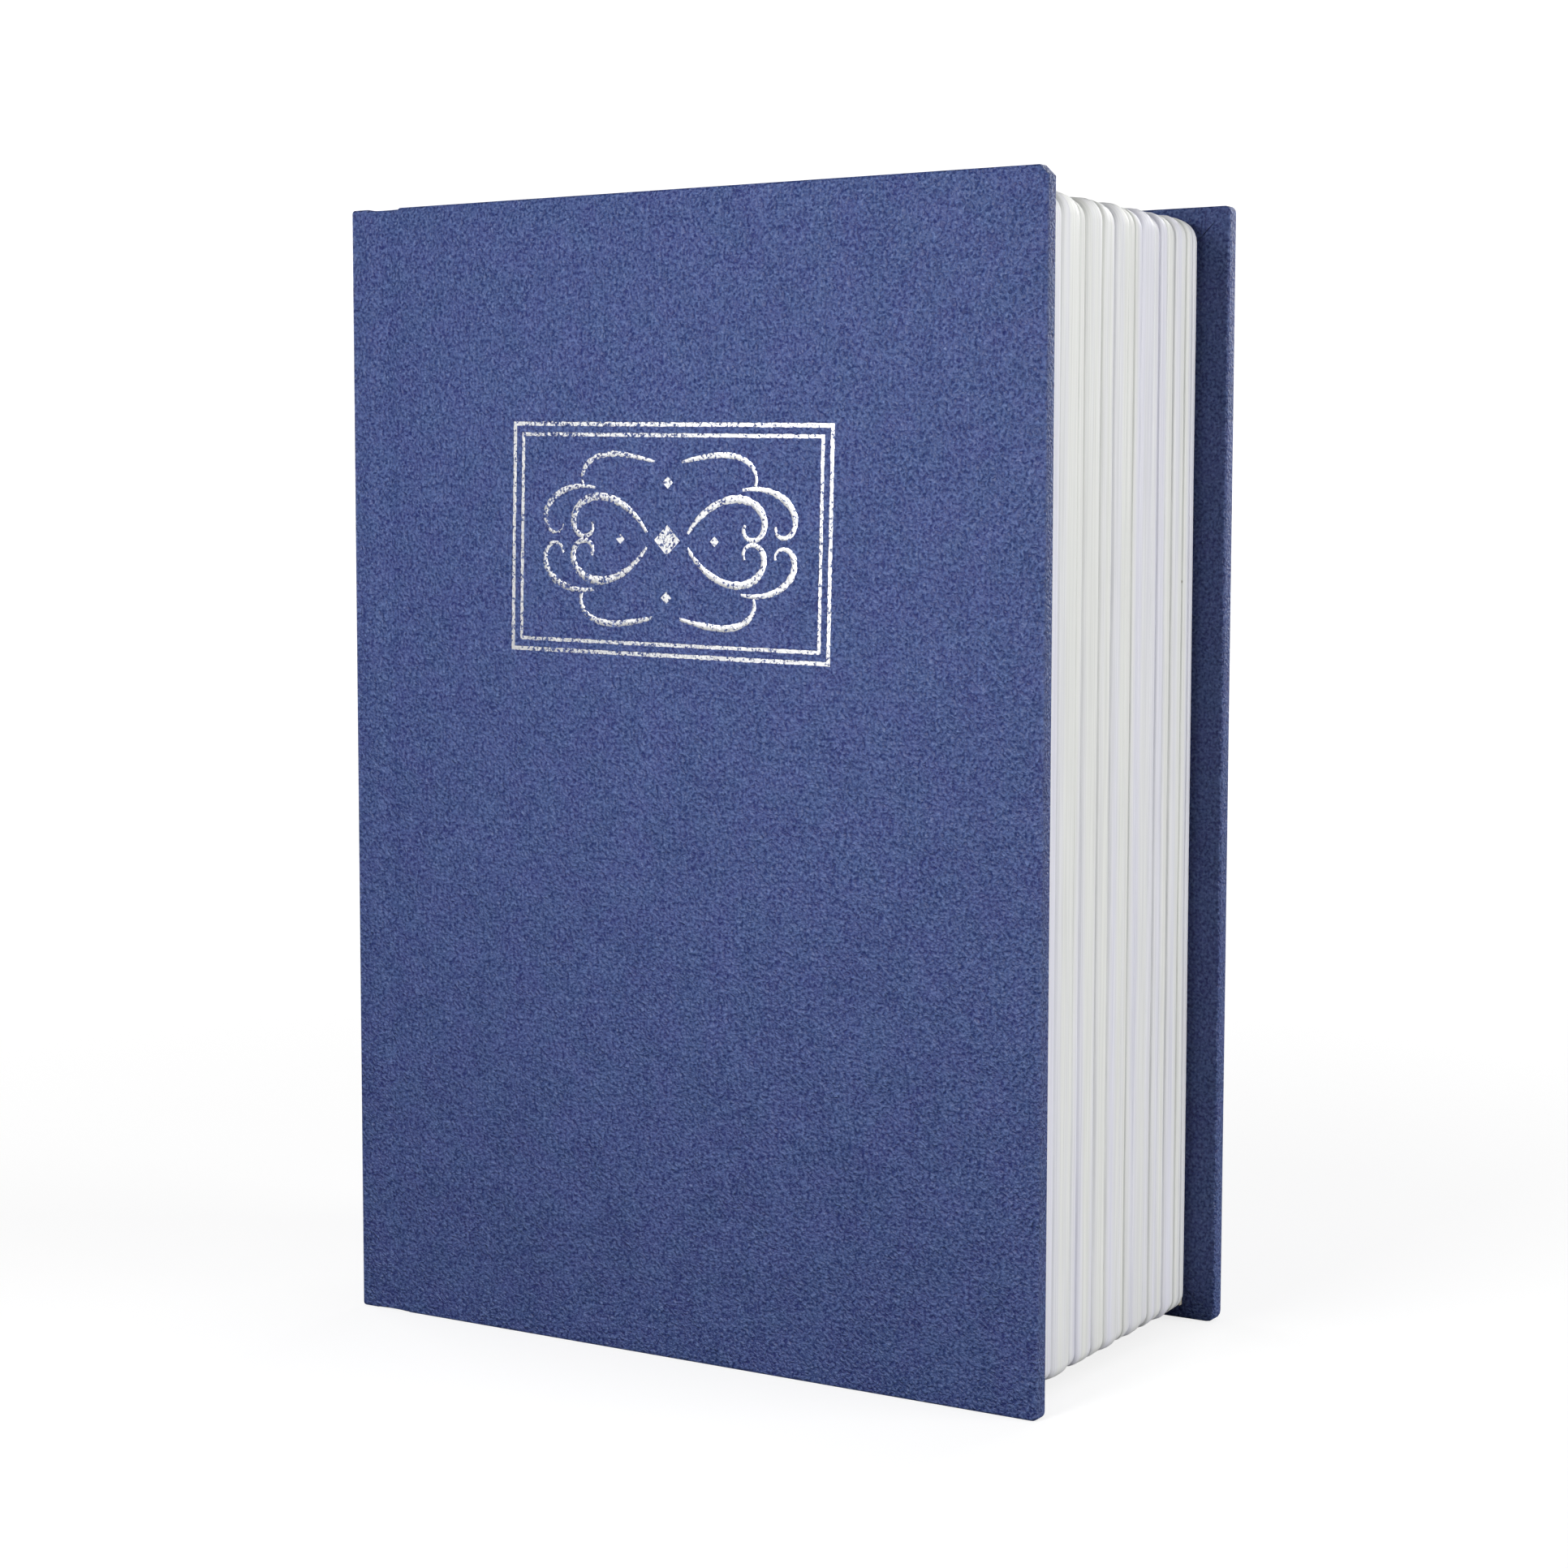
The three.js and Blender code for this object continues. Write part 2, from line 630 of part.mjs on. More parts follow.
// One rolled knuckle: a curl of sheet round the pin that starts at an angle and runs clockwise
function knuckle(startAngle, tailZ, headZ) {
  const arc = (radius) => Array.from({ length: knuckleSteps + 1 }, (_, step) => {
    const angle = startAngle - THREE.MathUtils.degToRad(knuckleSweep) * (step / knuckleSteps);
    return new THREE.Vector2(pinX + radius * Math.cos(angle), pinY + radius * Math.sin(angle));
  });
  const outline = new THREE.Shape([...arc(curlOuter), ...arc(curlInner).reverse()]);
  const geometry = new THREE.ExtrudeGeometry(outline, { depth: headZ - tailZ, bevelEnabled: false });
  geometry.translate(0, 0, tailZ);
  return toSolid(geometry);
}

// Heights of the knuckles; even ones belong to the box and odd ones to the door
function knuckleSpans(firstOwner) {
  const spans = [];
  for (let i = firstOwner; i < knuckleShares.length - 1; i += 2) {
    const tailZ = barrelTailZ + barrelLength * knuckleShares[i];
    const headZ = barrelTailZ + barrelLength * knuckleShares[i + 1];
    spans.push([tailZ + knuckleGap / 2, headZ - knuckleGap / 2]);
  }
  return spans;
}

// Pressed tray with a lip on three sides of its mouth and its share of the hinge on the fourth
function steelBox() {
  const wall = sheetThickness;
  const tray = frontPlate(boxOutline(0), boxFrontY, pageBackY);
  const inside = frontPlate(boxOutline(wall), lipBackY, pageBackY - wall);
  const mouth = frontPlate(
    roundedOutline(boxSpineX + wall, boxForeX - wall - lipWidth, boxTailZ + wall + lipWidthEnds,
      boxHeadZ - wall - lipWidthEnds, new Array(4).fill(boxCornerRadius - wall)),
    boxFrontY - cutOverrun, lipBackY + cutOverrun);
  const wallSpan = [boxSpineX - cutOverrun, boxSpineX + wall + cutOverrun / 2];
  const besideBarrel = block(
    wallSpan, [boxFrontY - cutOverrun, pinY], [barrelTailZ - knuckleGap, barrelHeadZ + knuckleGap]);
  const besideDoorKnuckles = knuckleSpans(1).map(([tailZ, headZ]) => block(
    wallSpan, [boxFrontY - cutOverrun, barrelClearY], [tailZ - knuckleGap, headZ + knuckleGap]));
  const curls = knuckleSpans(0).map(([tailZ, headZ]) => knuckle(0, tailZ, headZ));
  return join(cut(tray, inside, mouth, besideBarrel, ...besideDoorKnuckles), ...curls);
}

// Pressed lid with a skirt on three sides, rolled knuckles and a hole with two flats for the lock
function boxDoor() {
  const corner = doorCornerRadius;
  const shell = frontPlate(
    roundedOutline(doorSpineX, doorForeX, doorTailZ, doorHeadZ, [0, corner, corner, 0]),
    doorFrontY, skirtBackY + 2 * doorEdgeRadius, doorEdgeRadius);
  const pastSkirt = block(
    [doorSpineX - cutOverrun, doorForeX + cutOverrun],
    [skirtBackY, skirtBackY + 2 * doorEdgeRadius + cutOverrun],
    [doorTailZ - cutOverrun, doorHeadZ + cutOverrun]);
  const inner = corner - sheetThickness;
  const underside = frontPlate(
    roundedOutline(doorSpineX - cutOverrun, doorForeX - sheetThickness, doorTailZ + sheetThickness,
      doorHeadZ - sheetThickness, [0, inner, inner, 0]),
    doorInnerY, skirtBackY + cutOverrun);
  const endSpans = [[doorTailZ - cutOverrun, boxTailZ], [boxHeadZ, doorHeadZ + cutOverrun]];
  const skirtEnds = endSpans.map((span) => block(
    [doorSpineX - cutOverrun, barrelClearX], [doorInnerY, skirtBackY + cutOverrun], span));
  const barrelNotch = block(
    [doorSpineX - cutOverrun, barrelClearX],
    [doorFrontY - cutOverrun, doorInnerY + cutOverrun],
    [barrelTailZ - knuckleGap / 2, barrelHeadZ + knuckleGap / 2]);
  const pressed = cut(shell, pastSkirt, underside, ...skirtEnds, barrelNotch);
  const leaves = knuckleSpans(1).map(([tailZ, headZ]) => block(
    [pinX, barrelClearX + sheetThickness], [doorFrontY, doorInnerY], [tailZ, headZ]));
  const curls = knuckleSpans(1).map(([tailZ, headZ]) => knuckle(-quarterTurn, tailZ, headZ));
  return cut(join(pressed, ...leaves, ...curls), lockHole());
}

// Hole in the door: round, with the two flats that stop the lock body from turning
function lockHole() {
  return flattedRound(
    lockBodyRadius + runningGap, lockFlatHalf + runningGap,
    doorFrontY - cutOverrun, doorInnerY + cutOverrun);
}

function hingePin() {
  const dome = pinRadius / 2;
  const tailZ = barrelTailZ - pinOverhang;
  const headZ = barrelHeadZ + pinOverhang;
  const profile = [
    new THREE.Vector2(0, tailZ), new THREE.Vector2(dome, tailZ), new THREE.Vector2(pinRadius, tailZ + dome),
    new THREE.Vector2(pinRadius, headZ - dome), new THREE.Vector2(dome, headZ), new THREE.Vector2(0, headZ),
  ];
  const geometry = new THREE.LatheGeometry(profile, roundSteps / 2);
  geometry.applyMatrix4(frontView);
  geometry.translate(pinX, pinY, 0);
  return toSolid(geometry);
}

// Round of the lock body between its two flats
function flattedRound(radius, flatHalf, nearY, farY) {
  const reach = radius + cutOverrun;
  const between = block(
    [lockX - flatHalf, lockX + flatHalf], [nearY, farY], [lockZ - reach, lockZ + reach]);
  return disc(radius, nearY - cutOverrun, farY + cutOverrun).intersect(between);
}

// Lock body: chamfered head, flatted barrel with its stop rim, counterbore and two wafer channels
function lockHousing() {
  const backOfHead = doorFrontY - glueLine;
  const head = turned([
    [0, lockFaceY],
    [lockHeadRadius - lockHeadChamfer, lockFaceY],
    [lockHeadRadius, lockFaceY + lockHeadChamfer],
    [lockHeadRadius, backOfHead],
    [0, backOfHead],
  ]);
  const rimY = lockRearY + stopRise;
  const barrel = flattedRound(lockBodyRadius, lockFlatHalf, lockFaceY + lockHeadChamfer, rimY);
  const bore = disc(lockBoreRadius, lockFaceY - cutOverrun, rimY + cutOverrun);
  const counterbore = disc(counterboreRadius, lockFaceY - cutOverrun, lockFaceY + counterboreDepth);
  const channels = flattedRound(
    lockBoreRadius + channelDepth, channelHalfWidth, lockFaceY + channelFrontWall, rimY + cutOverrun);
  return cut(join(head, barrel), bore, counterbore, channels, stopSweep());
}

// Space in the stop rim through which the ear of the stop washer swings a quarter turn
function stopSweep() {
  const depth = [lockRearY, lockRearY + stopRise + cutOverrun];
  const margin = stopEarHalf + runningGap;
  const reach = lockBodyRadius + cutOverrun;
  return join(
    block([lockX - reach, lockX + margin], depth, [lockZ, lockZ + reach]),
    block([lockX - reach, lockX], depth, [lockZ - margin, lockZ + reach]),
  );
}

// Washer on the plug's square; its ear points up while the lock is open
function stopWasher() {
  const backY = stopFrontY + stopThickness;
  const ear = block(
    [lockX - stopEarHalf, lockX + stopEarHalf], [stopFrontY, backY], [lockZ, lockZ + stopEarReach]);
  return cut(join(disc(plugRadius, stopFrontY, backY), ear), squareHole(stopFrontY, backY));
}

// Square hole that fits on the end of the plug
function squareHole(nearY, farY) {
  const half = bossHalf + runningGap;
  return block(
    [lockX - half, lockX + half], [nearY - cutOverrun, farY + cutOverrun], [lockZ - half, lockZ + half]);
}

function lockWasher() {
  const nearY = doorInnerY + glueLine;
  const farY = nearY + washerThickness;
  const inner = lockBodyRadius + runningGap;
  return turned([[inner, nearY], [washerRadius, nearY], [washerRadius, farY], [inner, farY]]);
}

function lockNut() {
  const nearY = doorInnerY + 2 * glueLine + washerThickness;
  const farY = nearY + nutThickness;
  const cornerRadius = nutAcrossFlats / 2 / Math.cos(Math.PI / 6);
  const hexagon = Array.from({ length: 6 }, (_, side) => {
    const angle = Math.PI / 6 + side * Math.PI / 3;
    const corner = new THREE.Vector2(Math.cos(angle), Math.sin(angle)).multiplyScalar(cornerRadius);
    return corner.add(new THREE.Vector2(lockX, lockZ));
  });
  const chamfered = turned([
    [0, nearY], [cornerRadius, nearY], [cornerRadius, farY - nutChamfer],
    [cornerRadius - 2 * nutChamfer, farY], [0, farY],
  ]);
  const thread = disc(lockBodyRadius + runningGap, nearY - cutOverrun, farY + cutOverrun);
  return cut(frontPlate(hexagon, nearY, farY).intersect(chamfered), thread);
}

// Depths of the wafers along the plug
const waferDepths = Array.from({ length: waferCount }, (_, i) => plugFrontY + waferFirst + i * waferPitch);

// Turning plug: shoulder, keyway, a slot for each wafer, the square for the cam and the screw hole
function lockPlug() {
  const shoulderRadius = counterboreRadius - runningGap;
  const shoulderBackY = lockFaceY + counterboreDepth - runningGap;
  const body = turned([
    [0, plugFrontY],
    [shoulderRadius, plugFrontY],
    [shoulderRadius, shoulderBackY],
    [plugRadius, shoulderBackY],
    [plugRadius, plugShoulderY],
    [0, plugShoulderY],
  ]);
  const square = block(
    [lockX - bossHalf, lockX + bossHalf], [plugShoulderY - cutOverrun, bossBackY],
    [lockZ - bossHalf, lockZ + bossHalf]);
  const keyway = block(
    [lockX - keyHalfWidth, lockX + keyHalfWidth], [plugFrontY - cutOverrun, plugFrontY + keyDepth],
    [lockZ - keyHalfHeight, lockZ + keyHalfHeight]);
  const slotX = waferHalfWidth + runningGap;
  const slotY = waferThickness / 2 + runningGap;
  const slots = waferDepths.map((y) => block(
    [lockX - slotX, lockX + slotX], [y - slotY, y + slotY],
    [lockZ - plugRadius - cutOverrun, lockZ + plugRadius + cutOverrun]));
  const screwHole = disc(
    screwShankRadius + runningGap, bossBackY - screwLength - runningGap, bossBackY + cutOverrun);
  return cut(join(body, square), keyway, ...slots, screwHole);
}

// One wafer: a plate with round ends and a window cut off centre for its step of the key
function lockWafer(i) {
  const y = waferDepths[i];
  const half = waferThickness / 2;
  const shift = waferCutShares[i] * waferCutStep;
  const blank = disc(waferRadius, y - half, y + half).intersect(block(
    [lockX - waferHalfWidth, lockX + waferHalfWidth], [y - half - cutOverrun, y + half + cutOverrun],
    [lockZ - waferRadius, lockZ + waferRadius]));
  const window = block(
    [lockX - waferWindowHalfWidth, lockX + waferWindowHalfWidth],
    [y - half - cutOverrun, y + half + cutOverrun],
    [lockZ + shift - waferWindowHalfHeight, lockZ + shift + waferWindowHalfHeight]);
  return cut(blank, window);
}

// Cranked cam pointing down: a disc on the plug's square and an arm that steps forward to the lip
function lockCam() {
  const half = camThickness / 2;
  const middleY = camFrontY + half;
  const tipY = camTipFrontY + half;
  const line = [[0, middleY], [camElbow, middleY], [camKnee, tipY], [camReach, tipY]];
  const points = line.map(([reach, y]) => new THREE.Vector2(reach, y));
  const bent = bentSheet(points, half, -camHalfWidth, camHalfWidth);
  const mirrored = bentSheet(points.slice().reverse(), half, -camHalfWidth, camHalfWidth);
  const arm = join(bent, mirrored);
  // the arm is drawn lying along +X; this turns it to hang towards -Z
  const hang = new THREE.Matrix4().makeBasis(axisZ.clone().negate(), axisY, axisX);
  const laid = toGeometry(arm).applyMatrix4(hang);
  laid.translate(lockX, 0, lockZ);
  const round = disc(camDiscRadius, camFrontY, camBackY);
  return cut(join(round, toSolid(laid)), squareHole(camFrontY, camBackY));
}

function camScrew() {
  const headY = camBackY + glueLine;
  const tipY = bossBackY - screwLength;
  const screw = turned([
    [0, tipY], [screwShankRadius, tipY], [screwShankRadius, headY], [screwHeadRadius, headY],
    [screwHeadRadius, headY + screwHeadThickness - slotDepth / 2],
    [screwHeadRadius - slotDepth / 2, headY + screwHeadThickness], [0, headY + screwHeadThickness],
  ]);
  const slotReach = screwHeadRadius + cutOverrun;
  const slot = block(
    [lockX - slotReach, lockX + slotReach],
    [headY + screwHeadThickness - slotDepth, headY + screwHeadThickness + cutOverrun],
    [lockZ - slotHalfWidth, lockZ + slotHalfWidth]);
  return cut(screw, slot);
}

// Finishes
function finish(color, roughness, metalness) {
  return new THREE.MeshStandardMaterial({ color, roughness, metalness });
}

const blueLeatherette = finish('#4c5888', 0.6, 0);
const greyboard = finish('#a39c90', 0.9, 0);
const whitePaper = finish('#e9e6df', 0.85, 0);
const creamCard = finish('#d8cfb8', 0.85, 0);
const whiteMoulding = finish('#dcdce0', 0.55, 0);
const blackEnamel = finish('#1d1e20', 0.45, 0.3);
const zincPlate = finish('#b9bcc0', 0.35, 0.9);
const nickelPlate = finish('#c9c8c4', 0.25, 1);
const brass = finish('#b5974f', 0.35, 1);

// The closed book
const book = new THREE.Group();

function addPiece(name, solid, material) {
  const mesh = new THREE.Mesh(toGeometry(solid), material);
  mesh.name = name;
  book.add(mesh);
}

addPiece('front_cover_board', coverBoard(frontY, 1), greyboard);
addPiece('front_cover_leatherette', frontCoverLeatherette(), blueLeatherette);
addPiece('front_pastedown', frontPastedown(), whitePaper);
addPiece('spine_board', spineBoard(), greyboard);
addPiece('back_cover_board', coverBoard(backY, -1), greyboard);
addPiece('case_leatherette', caseLeatherette(), blueLeatherette);
addPiece('spine_lining', spineLining(), whitePaper);
addPiece('back_pastedown', backPastedown(), whitePaper);
addPiece('backing_sheet', backingSheet(), creamCard);
addPiece('page_block', pageBlock(), whiteMoulding);
addPiece('steel_box', steelBox(), blackEnamel);
addPiece('box_door', boxDoor(), blackEnamel);
addPiece('hinge_pin', hingePin(), zincPlate);
addPiece('lock_housing', lockHousing(), nickelPlate);
addPiece('lock_washer', lockWasher(), zincPlate);
addPiece('lock_nut', lockNut(), zincPlate);
addPiece('lock_plug', lockPlug(), nickelPlate);
waferDepths.forEach((_, i) => addPiece(`lock_wafer_${i + 1}`, lockWafer(i), brass));
addPiece('stop_washer', stopWasher(), zincPlate);
addPiece('lock_cam', lockCam(), zincPlate);
addPiece('cam_screw', camScrew(), zincPlate);

export default book;
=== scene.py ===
"""Looks of a small safe disguised as a cloth-bound book.

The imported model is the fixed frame. The cloth case, the page block, the folded linings and the foil are
modelled here round it; all other pieces keep their own solids and get finishes. Sizes are written in
millimetres on the part's own axes: +Z up from tail to head, +X from the spine to the fore-edge, +Y from
the front cover to the back cover.
"""

from __future__ import annotations

import logging
import math
from dataclasses import dataclass, field, replace
from enum import Enum
from typing import Callable, Iterable, Sequence

import bmesh
import bpy
from bmesh.types import BMesh, BMEdge, BMFace, BMVert
from bpy.types import ID, Material, Mesh, Node, NodeSocket, Object
from mathutils import Matrix, Vector, noise

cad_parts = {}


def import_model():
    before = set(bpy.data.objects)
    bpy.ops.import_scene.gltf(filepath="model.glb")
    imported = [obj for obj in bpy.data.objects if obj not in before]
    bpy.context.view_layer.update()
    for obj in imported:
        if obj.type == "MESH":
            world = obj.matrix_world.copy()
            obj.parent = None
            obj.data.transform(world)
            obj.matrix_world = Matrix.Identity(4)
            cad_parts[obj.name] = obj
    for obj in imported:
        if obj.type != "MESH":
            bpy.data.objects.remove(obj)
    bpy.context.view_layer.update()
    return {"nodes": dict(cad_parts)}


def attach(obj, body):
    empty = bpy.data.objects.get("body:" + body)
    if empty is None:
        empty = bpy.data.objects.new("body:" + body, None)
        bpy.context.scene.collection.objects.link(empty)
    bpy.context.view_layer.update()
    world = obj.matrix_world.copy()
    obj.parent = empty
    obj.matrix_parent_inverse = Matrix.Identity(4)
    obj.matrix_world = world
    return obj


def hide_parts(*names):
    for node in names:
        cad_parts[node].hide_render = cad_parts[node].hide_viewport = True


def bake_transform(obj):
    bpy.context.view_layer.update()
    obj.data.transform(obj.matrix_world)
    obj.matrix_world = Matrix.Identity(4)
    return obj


LOG = logging.getLogger("book")

MM = 0.001
TOUCH = 1e-4
WHITE = "#ffffff"
REST_ATTRIBUTE = "cloth_place"

Pair = tuple[float, float]
Triple = tuple[float, float, float]


class Axis(Enum):
    """The three axes of the part, by their place in a vector."""

    X = 0
    Y = 1
    Z = 2


class Side(Enum):
    """Which cover a piece belongs to, by the direction from its outer face inwards."""

    FRONT = 1
    BACK = -1


class Body(Enum):
    """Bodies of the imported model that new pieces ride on."""

    CASE = "case"
    FRONT_COVER = "front_cover"


@dataclass(frozen=True)
class BookSizes:
    """Sizes of the closed book that several pieces share, in millimetres."""

    spine_x: float = -40.0
    fore_x: float = 40.0
    front_y: float = -21.5
    back_y: float = 21.5
    height: float = 115.0
    cover: float = 2.0
    cloth: float = 0.28
    turn_in: float = 11.0
    joint_width: float = 4.2
    joint_dip: float = 0.16
    joint_slope: float = 1.8
    lining_margin: float = 4.0
    glue: float = 0.05

    @property
    def spine_inner_x(self) -> float:
        """Inner face of the spine."""
        return self.spine_x + self.cover

    @property
    def board_x(self) -> float:
        """Spine-side edge of both cover boards."""
        return self.spine_inner_x + self.joint_width

    def outer_y(self, side: Side) -> float:
        """Depth of a cover's outer face."""
        return self.front_y if side is Side.FRONT else self.back_y


BOOK = BookSizes()


# Colour and shader nodes


def linear(hex_colour: str) -> tuple[float, float, float, float]:
    """Turns an sRGB hex colour into linear values.

    Args:
        hex_colour: Colour such as "#4c5888".

    Returns:
        Red, green, blue and alpha in linear light.
    """
    channels = [int(hex_colour[i : i + 2], 16) / 255 for i in (1, 3, 5)]
    lin = [c / 12.92 if c <= 0.04045 else ((c + 0.055) / 1.055) ** 2.4 for c in channels]
    return (lin[0], lin[1], lin[2], 1.0)


def per_metre(spacing: float) -> float:
    """Scale of a texture whose features lie a real spacing in millimetres apart."""
    return 1 / (spacing * MM)


class Recipe:
    """A material in the making: its node tree and its main shader."""

    def __init__(self, name: str) -> None:
        """Starts an empty material.

        Args:
            name: Name of the material, after the real one and how it was made.
        """
        self.material = bpy.data.materials.new(name)
        self.material.use_nodes = True
        self.tree = self.material.node_tree
        self.tree.nodes.clear()
        self.output = self.node("ShaderNodeOutputMaterial")
        self.shader = self.node("ShaderNodeBsdfPrincipled")
        self.link(self.shader.outputs["BSDF"], self.output.inputs["Surface"])

    def node(self, kind: str, inputs: dict | None = None, **settings: object) -> Node:
        """Adds one node.

        Args:
            kind: Type of the node.
            inputs: Values or sockets for its inputs, by name or number.
            settings: Properties of the node.

        Returns:
            The new node.
        """
        made = self.tree.nodes.new(kind)
        for key, value in settings.items():
            setattr(made, key, value)
        for key, value in (inputs or {}).items():
            self.feed(made.inputs[key], value)
        return made

    def feed(self, target: NodeSocket, value: object) -> None:
        """Sets an input.

        Args:
            target: The input.
            value: Value for it, or a socket to link it to.
        """
        if isinstance(value, NodeSocket):
            self.link(value, target)
        else:
            target.default_value = value

    def link(self, source: NodeSocket, target: NodeSocket) -> None:
        """Links an output to an input."""
        self.tree.links.new(source, target)

    def set(self, **values: object) -> None:
        """Sets inputs of the main shader; an underscore stands for a space in an input's name."""
        for key, value in values.items():
            self.feed(self.shader.inputs[key.replace("_", " ")], value)

    def rest_place(self) -> NodeSocket:
        """Place of a surface point on the closed book, which stays with the cloth as it bends."""
        return self.node("ShaderNodeAttribute", attribute_name=REST_ATTRIBUTE).outputs["Vector"]

    def own_place(self) -> NodeSocket:
        """Place of a surface point on a rigid piece."""
        return self.node("ShaderNodeTexCoord").outputs["Object"]

    def along(self, place: NodeSocket, axis: Axis) -> NodeSocket:
        """Place along one axis, in metres."""
        return self.node("ShaderNodeSeparateXYZ", {0: place}).outputs[axis.value]

    def stretch(self, place: NodeSocket, scale: Sequence[float]) -> NodeSocket:
        """Draws a texture out along the axes whose scale is small."""
        return self.node("ShaderNodeMapping", {"Vector": place, "Scale": scale}).outputs[0]

    def noise(
        self, place: NodeSocket, spacing: float, detail: float, roughness: float = 0.5,
        distortion: float = 0.0, kind: str = "FBM",
    ) -> NodeSocket:
        """Adds soft noise.

        Args:
            place: Place of the surface point.
            spacing: Distance between its features, in millimetres.
            detail: How many finer layers lie over it.
            roughness: How strong the finer layers are.
            distortion: How far it is warped.
            kind: How its layers are added up.

        Returns:
            Its value.
        """
        inputs = {"Vector": place, "Scale": per_metre(spacing), "Detail": detail, "Roughness": roughness,
                  "Distortion": distortion}
        return self.node("ShaderNodeTexNoise", inputs, noise_type=kind).outputs[0]

    def cells(self, place: NodeSocket, spacing: float, randomness: float = 1.0) -> NodeSocket:
        """Distance to the nearest of many scattered points, a spacing in millimetres apart."""
        inputs = {"Vector": place, "Scale": per_metre(spacing), "Randomness": randomness}
        return self.node("ShaderNodeTexVoronoi", inputs).outputs["Distance"]

    def maths(self, operation: str, *values: NodeSocket | float) -> NodeSocket:
        """Works out one operation on values or sockets."""
        return self.node("ShaderNodeMath", dict(enumerate(values)), operation=operation).outputs[0]

    def ramp(
        self, value: NodeSocket, low: float, high: float, start: float = 0.0, end: float = 1.0
    ) -> NodeSocket:
        """Maps one range of a value to another, with its ends clamped."""
        inputs = {"Value": value, "From Min": low, "From Max": high, "To Min": start, "To Max": end}
        return self.node("ShaderNodeMapRange", inputs, clamp=True).outputs["Result"]

    def mix(self, amount: NodeSocket | float, low: NodeSocket | str, high: NodeSocket | str) -> NodeSocket:
        """Mixes two colours, sockets or sRGB hex, from the first at 0 to the second at 1."""
        low, high = (linear(colour) if isinstance(colour, str) else colour for colour in (low, high))
        return self.node("ShaderNodeMix", {0: amount, 6: low, 7: high}, data_type="RGBA").outputs[2]

    def bump(self, height: NodeSocket, strength: float, depth: float) -> NodeSocket:
        """Tilts the surface after a height that is worth a depth in millimetres."""
        inputs = {"Height": height, "Strength": strength, "Distance": depth * MM}
        return self.node("ShaderNodeBump", inputs).outputs[0]


class Finish:
    """What all finishes share: a name, and a material built by their own nodes."""

    name: str

    def dress(self, recipe: Recipe) -> None:
        """Adds the nodes; each finish has its own."""
        raise NotImplementedError

    def build(self) -> Material:
        """Builds the material.

        Returns:
            The finished material.
        """
        recipe = Recipe(self.name)
        self.dress(recipe)
        return recipe.material


@dataclass(frozen=True)
class Leatherette(Finish):
    """Vinyl-coated cloth, embossed with a fine leather grain between hot rollers."""

    # hollow and crown are the painted shade of the grain's hollows and the painted highlight of its
    # crowns.
    hollow: str = "#121e5f"
    crown: str = "#6a7fb4"
    relief_shade_range: Pair = (0.15, 0.66)
    grain_spacing: float = 0.33
    pebble_spacing: float = 0.34
    pebble_share: float = -0.3
    crease_spacing: float = 0.36
    crease_mean: float = 0.1
    crease_lean: float = -32.0
    crease_stretch: Triple = (0.6, 1.0, 1.3)
    patch_spacing: float = 4.55
    patch_range: Pair = (0.36, 0.62)
    loose_heights: Pair = (0.085, 0.02)
    looseness: Pair = (0.35, 0.7)
    cool: str = "#274880"
    warm: str = "#343f85"
    mottle_spacing: float = 3.5
    mottle_range: Pair = (0.35, 0.65)
    tint_share: float = 0.3
    depth: float = 0.3
    roughness: float = 0.5
    name: str = "leatherette_embossed_vinyl"

    def dress(self, recipe: Recipe) -> None:
        """Dresses the main shader as plain embossed cloth."""
        self.emboss(recipe)

    def emboss(self, recipe: Recipe) -> NodeSocket:
        """Gives the main shader the grain, with painted shade in its hollows and a painted highlight on
        its crowns.

        Args:
            recipe: Material in the making.

        Returns:
            The height of the grain, for whatever is pressed on it.
        """
        place = recipe.rest_place()
        fine = recipe.noise(place, self.grain_spacing, detail=1.0, roughness=0.6, distortion=0.4)
        pebbles = recipe.cells(place, self.pebble_spacing, randomness=0.75)
        grain = recipe.maths("MULTIPLY_ADD", pebbles, self.pebble_share, fine)
        # Creases lie askew, come in patches and grow towards the tail, where the cloth was pulled less.
        lean = (0, math.radians(self.crease_lean), 0)
        turned = recipe.node("ShaderNodeMapping", {"Vector": place, "Rotation": lean}).outputs[0]
        creases = recipe.noise(
            recipe.stretch(turned, self.crease_stretch), self.crease_spacing, detail=1.5, roughness=0.6,
            distortion=0.9, kind="RIDGED_MULTIFRACTAL",
        )
        looseness = recipe.ramp(recipe.along(place, Axis.Z), *self.loose_heights, *self.looseness)
        patches = recipe.noise(place, self.patch_spacing, detail=2.0)
        swell = recipe.maths("MULTIPLY", recipe.ramp(patches, *self.patch_range), looseness)
        level = recipe.maths("SUBTRACT", creases, self.crease_mean)
        relief = recipe.maths("MULTIPLY_ADD", level, swell, grain)
        # Painted shade in the hollows of the grain and a painted highlight on its crowns: the colour runs
        # from dark to light with the height of the relief.
        relief_shaded = recipe.mix(recipe.ramp(relief, *self.relief_shade_range), self.hollow, self.crown)
        cloud = recipe.noise(place, self.mottle_spacing, detail=1.0)
        tint = recipe.mix(recipe.ramp(cloud, *self.mottle_range), self.cool, self.warm)
        recipe.set(
            Base_Color=recipe.mix(self.tint_share, relief_shaded, tint), Roughness=self.roughness, IOR=1.5,
            Normal=recipe.bump(relief, strength=1.0, depth=self.depth),
        )
        return relief


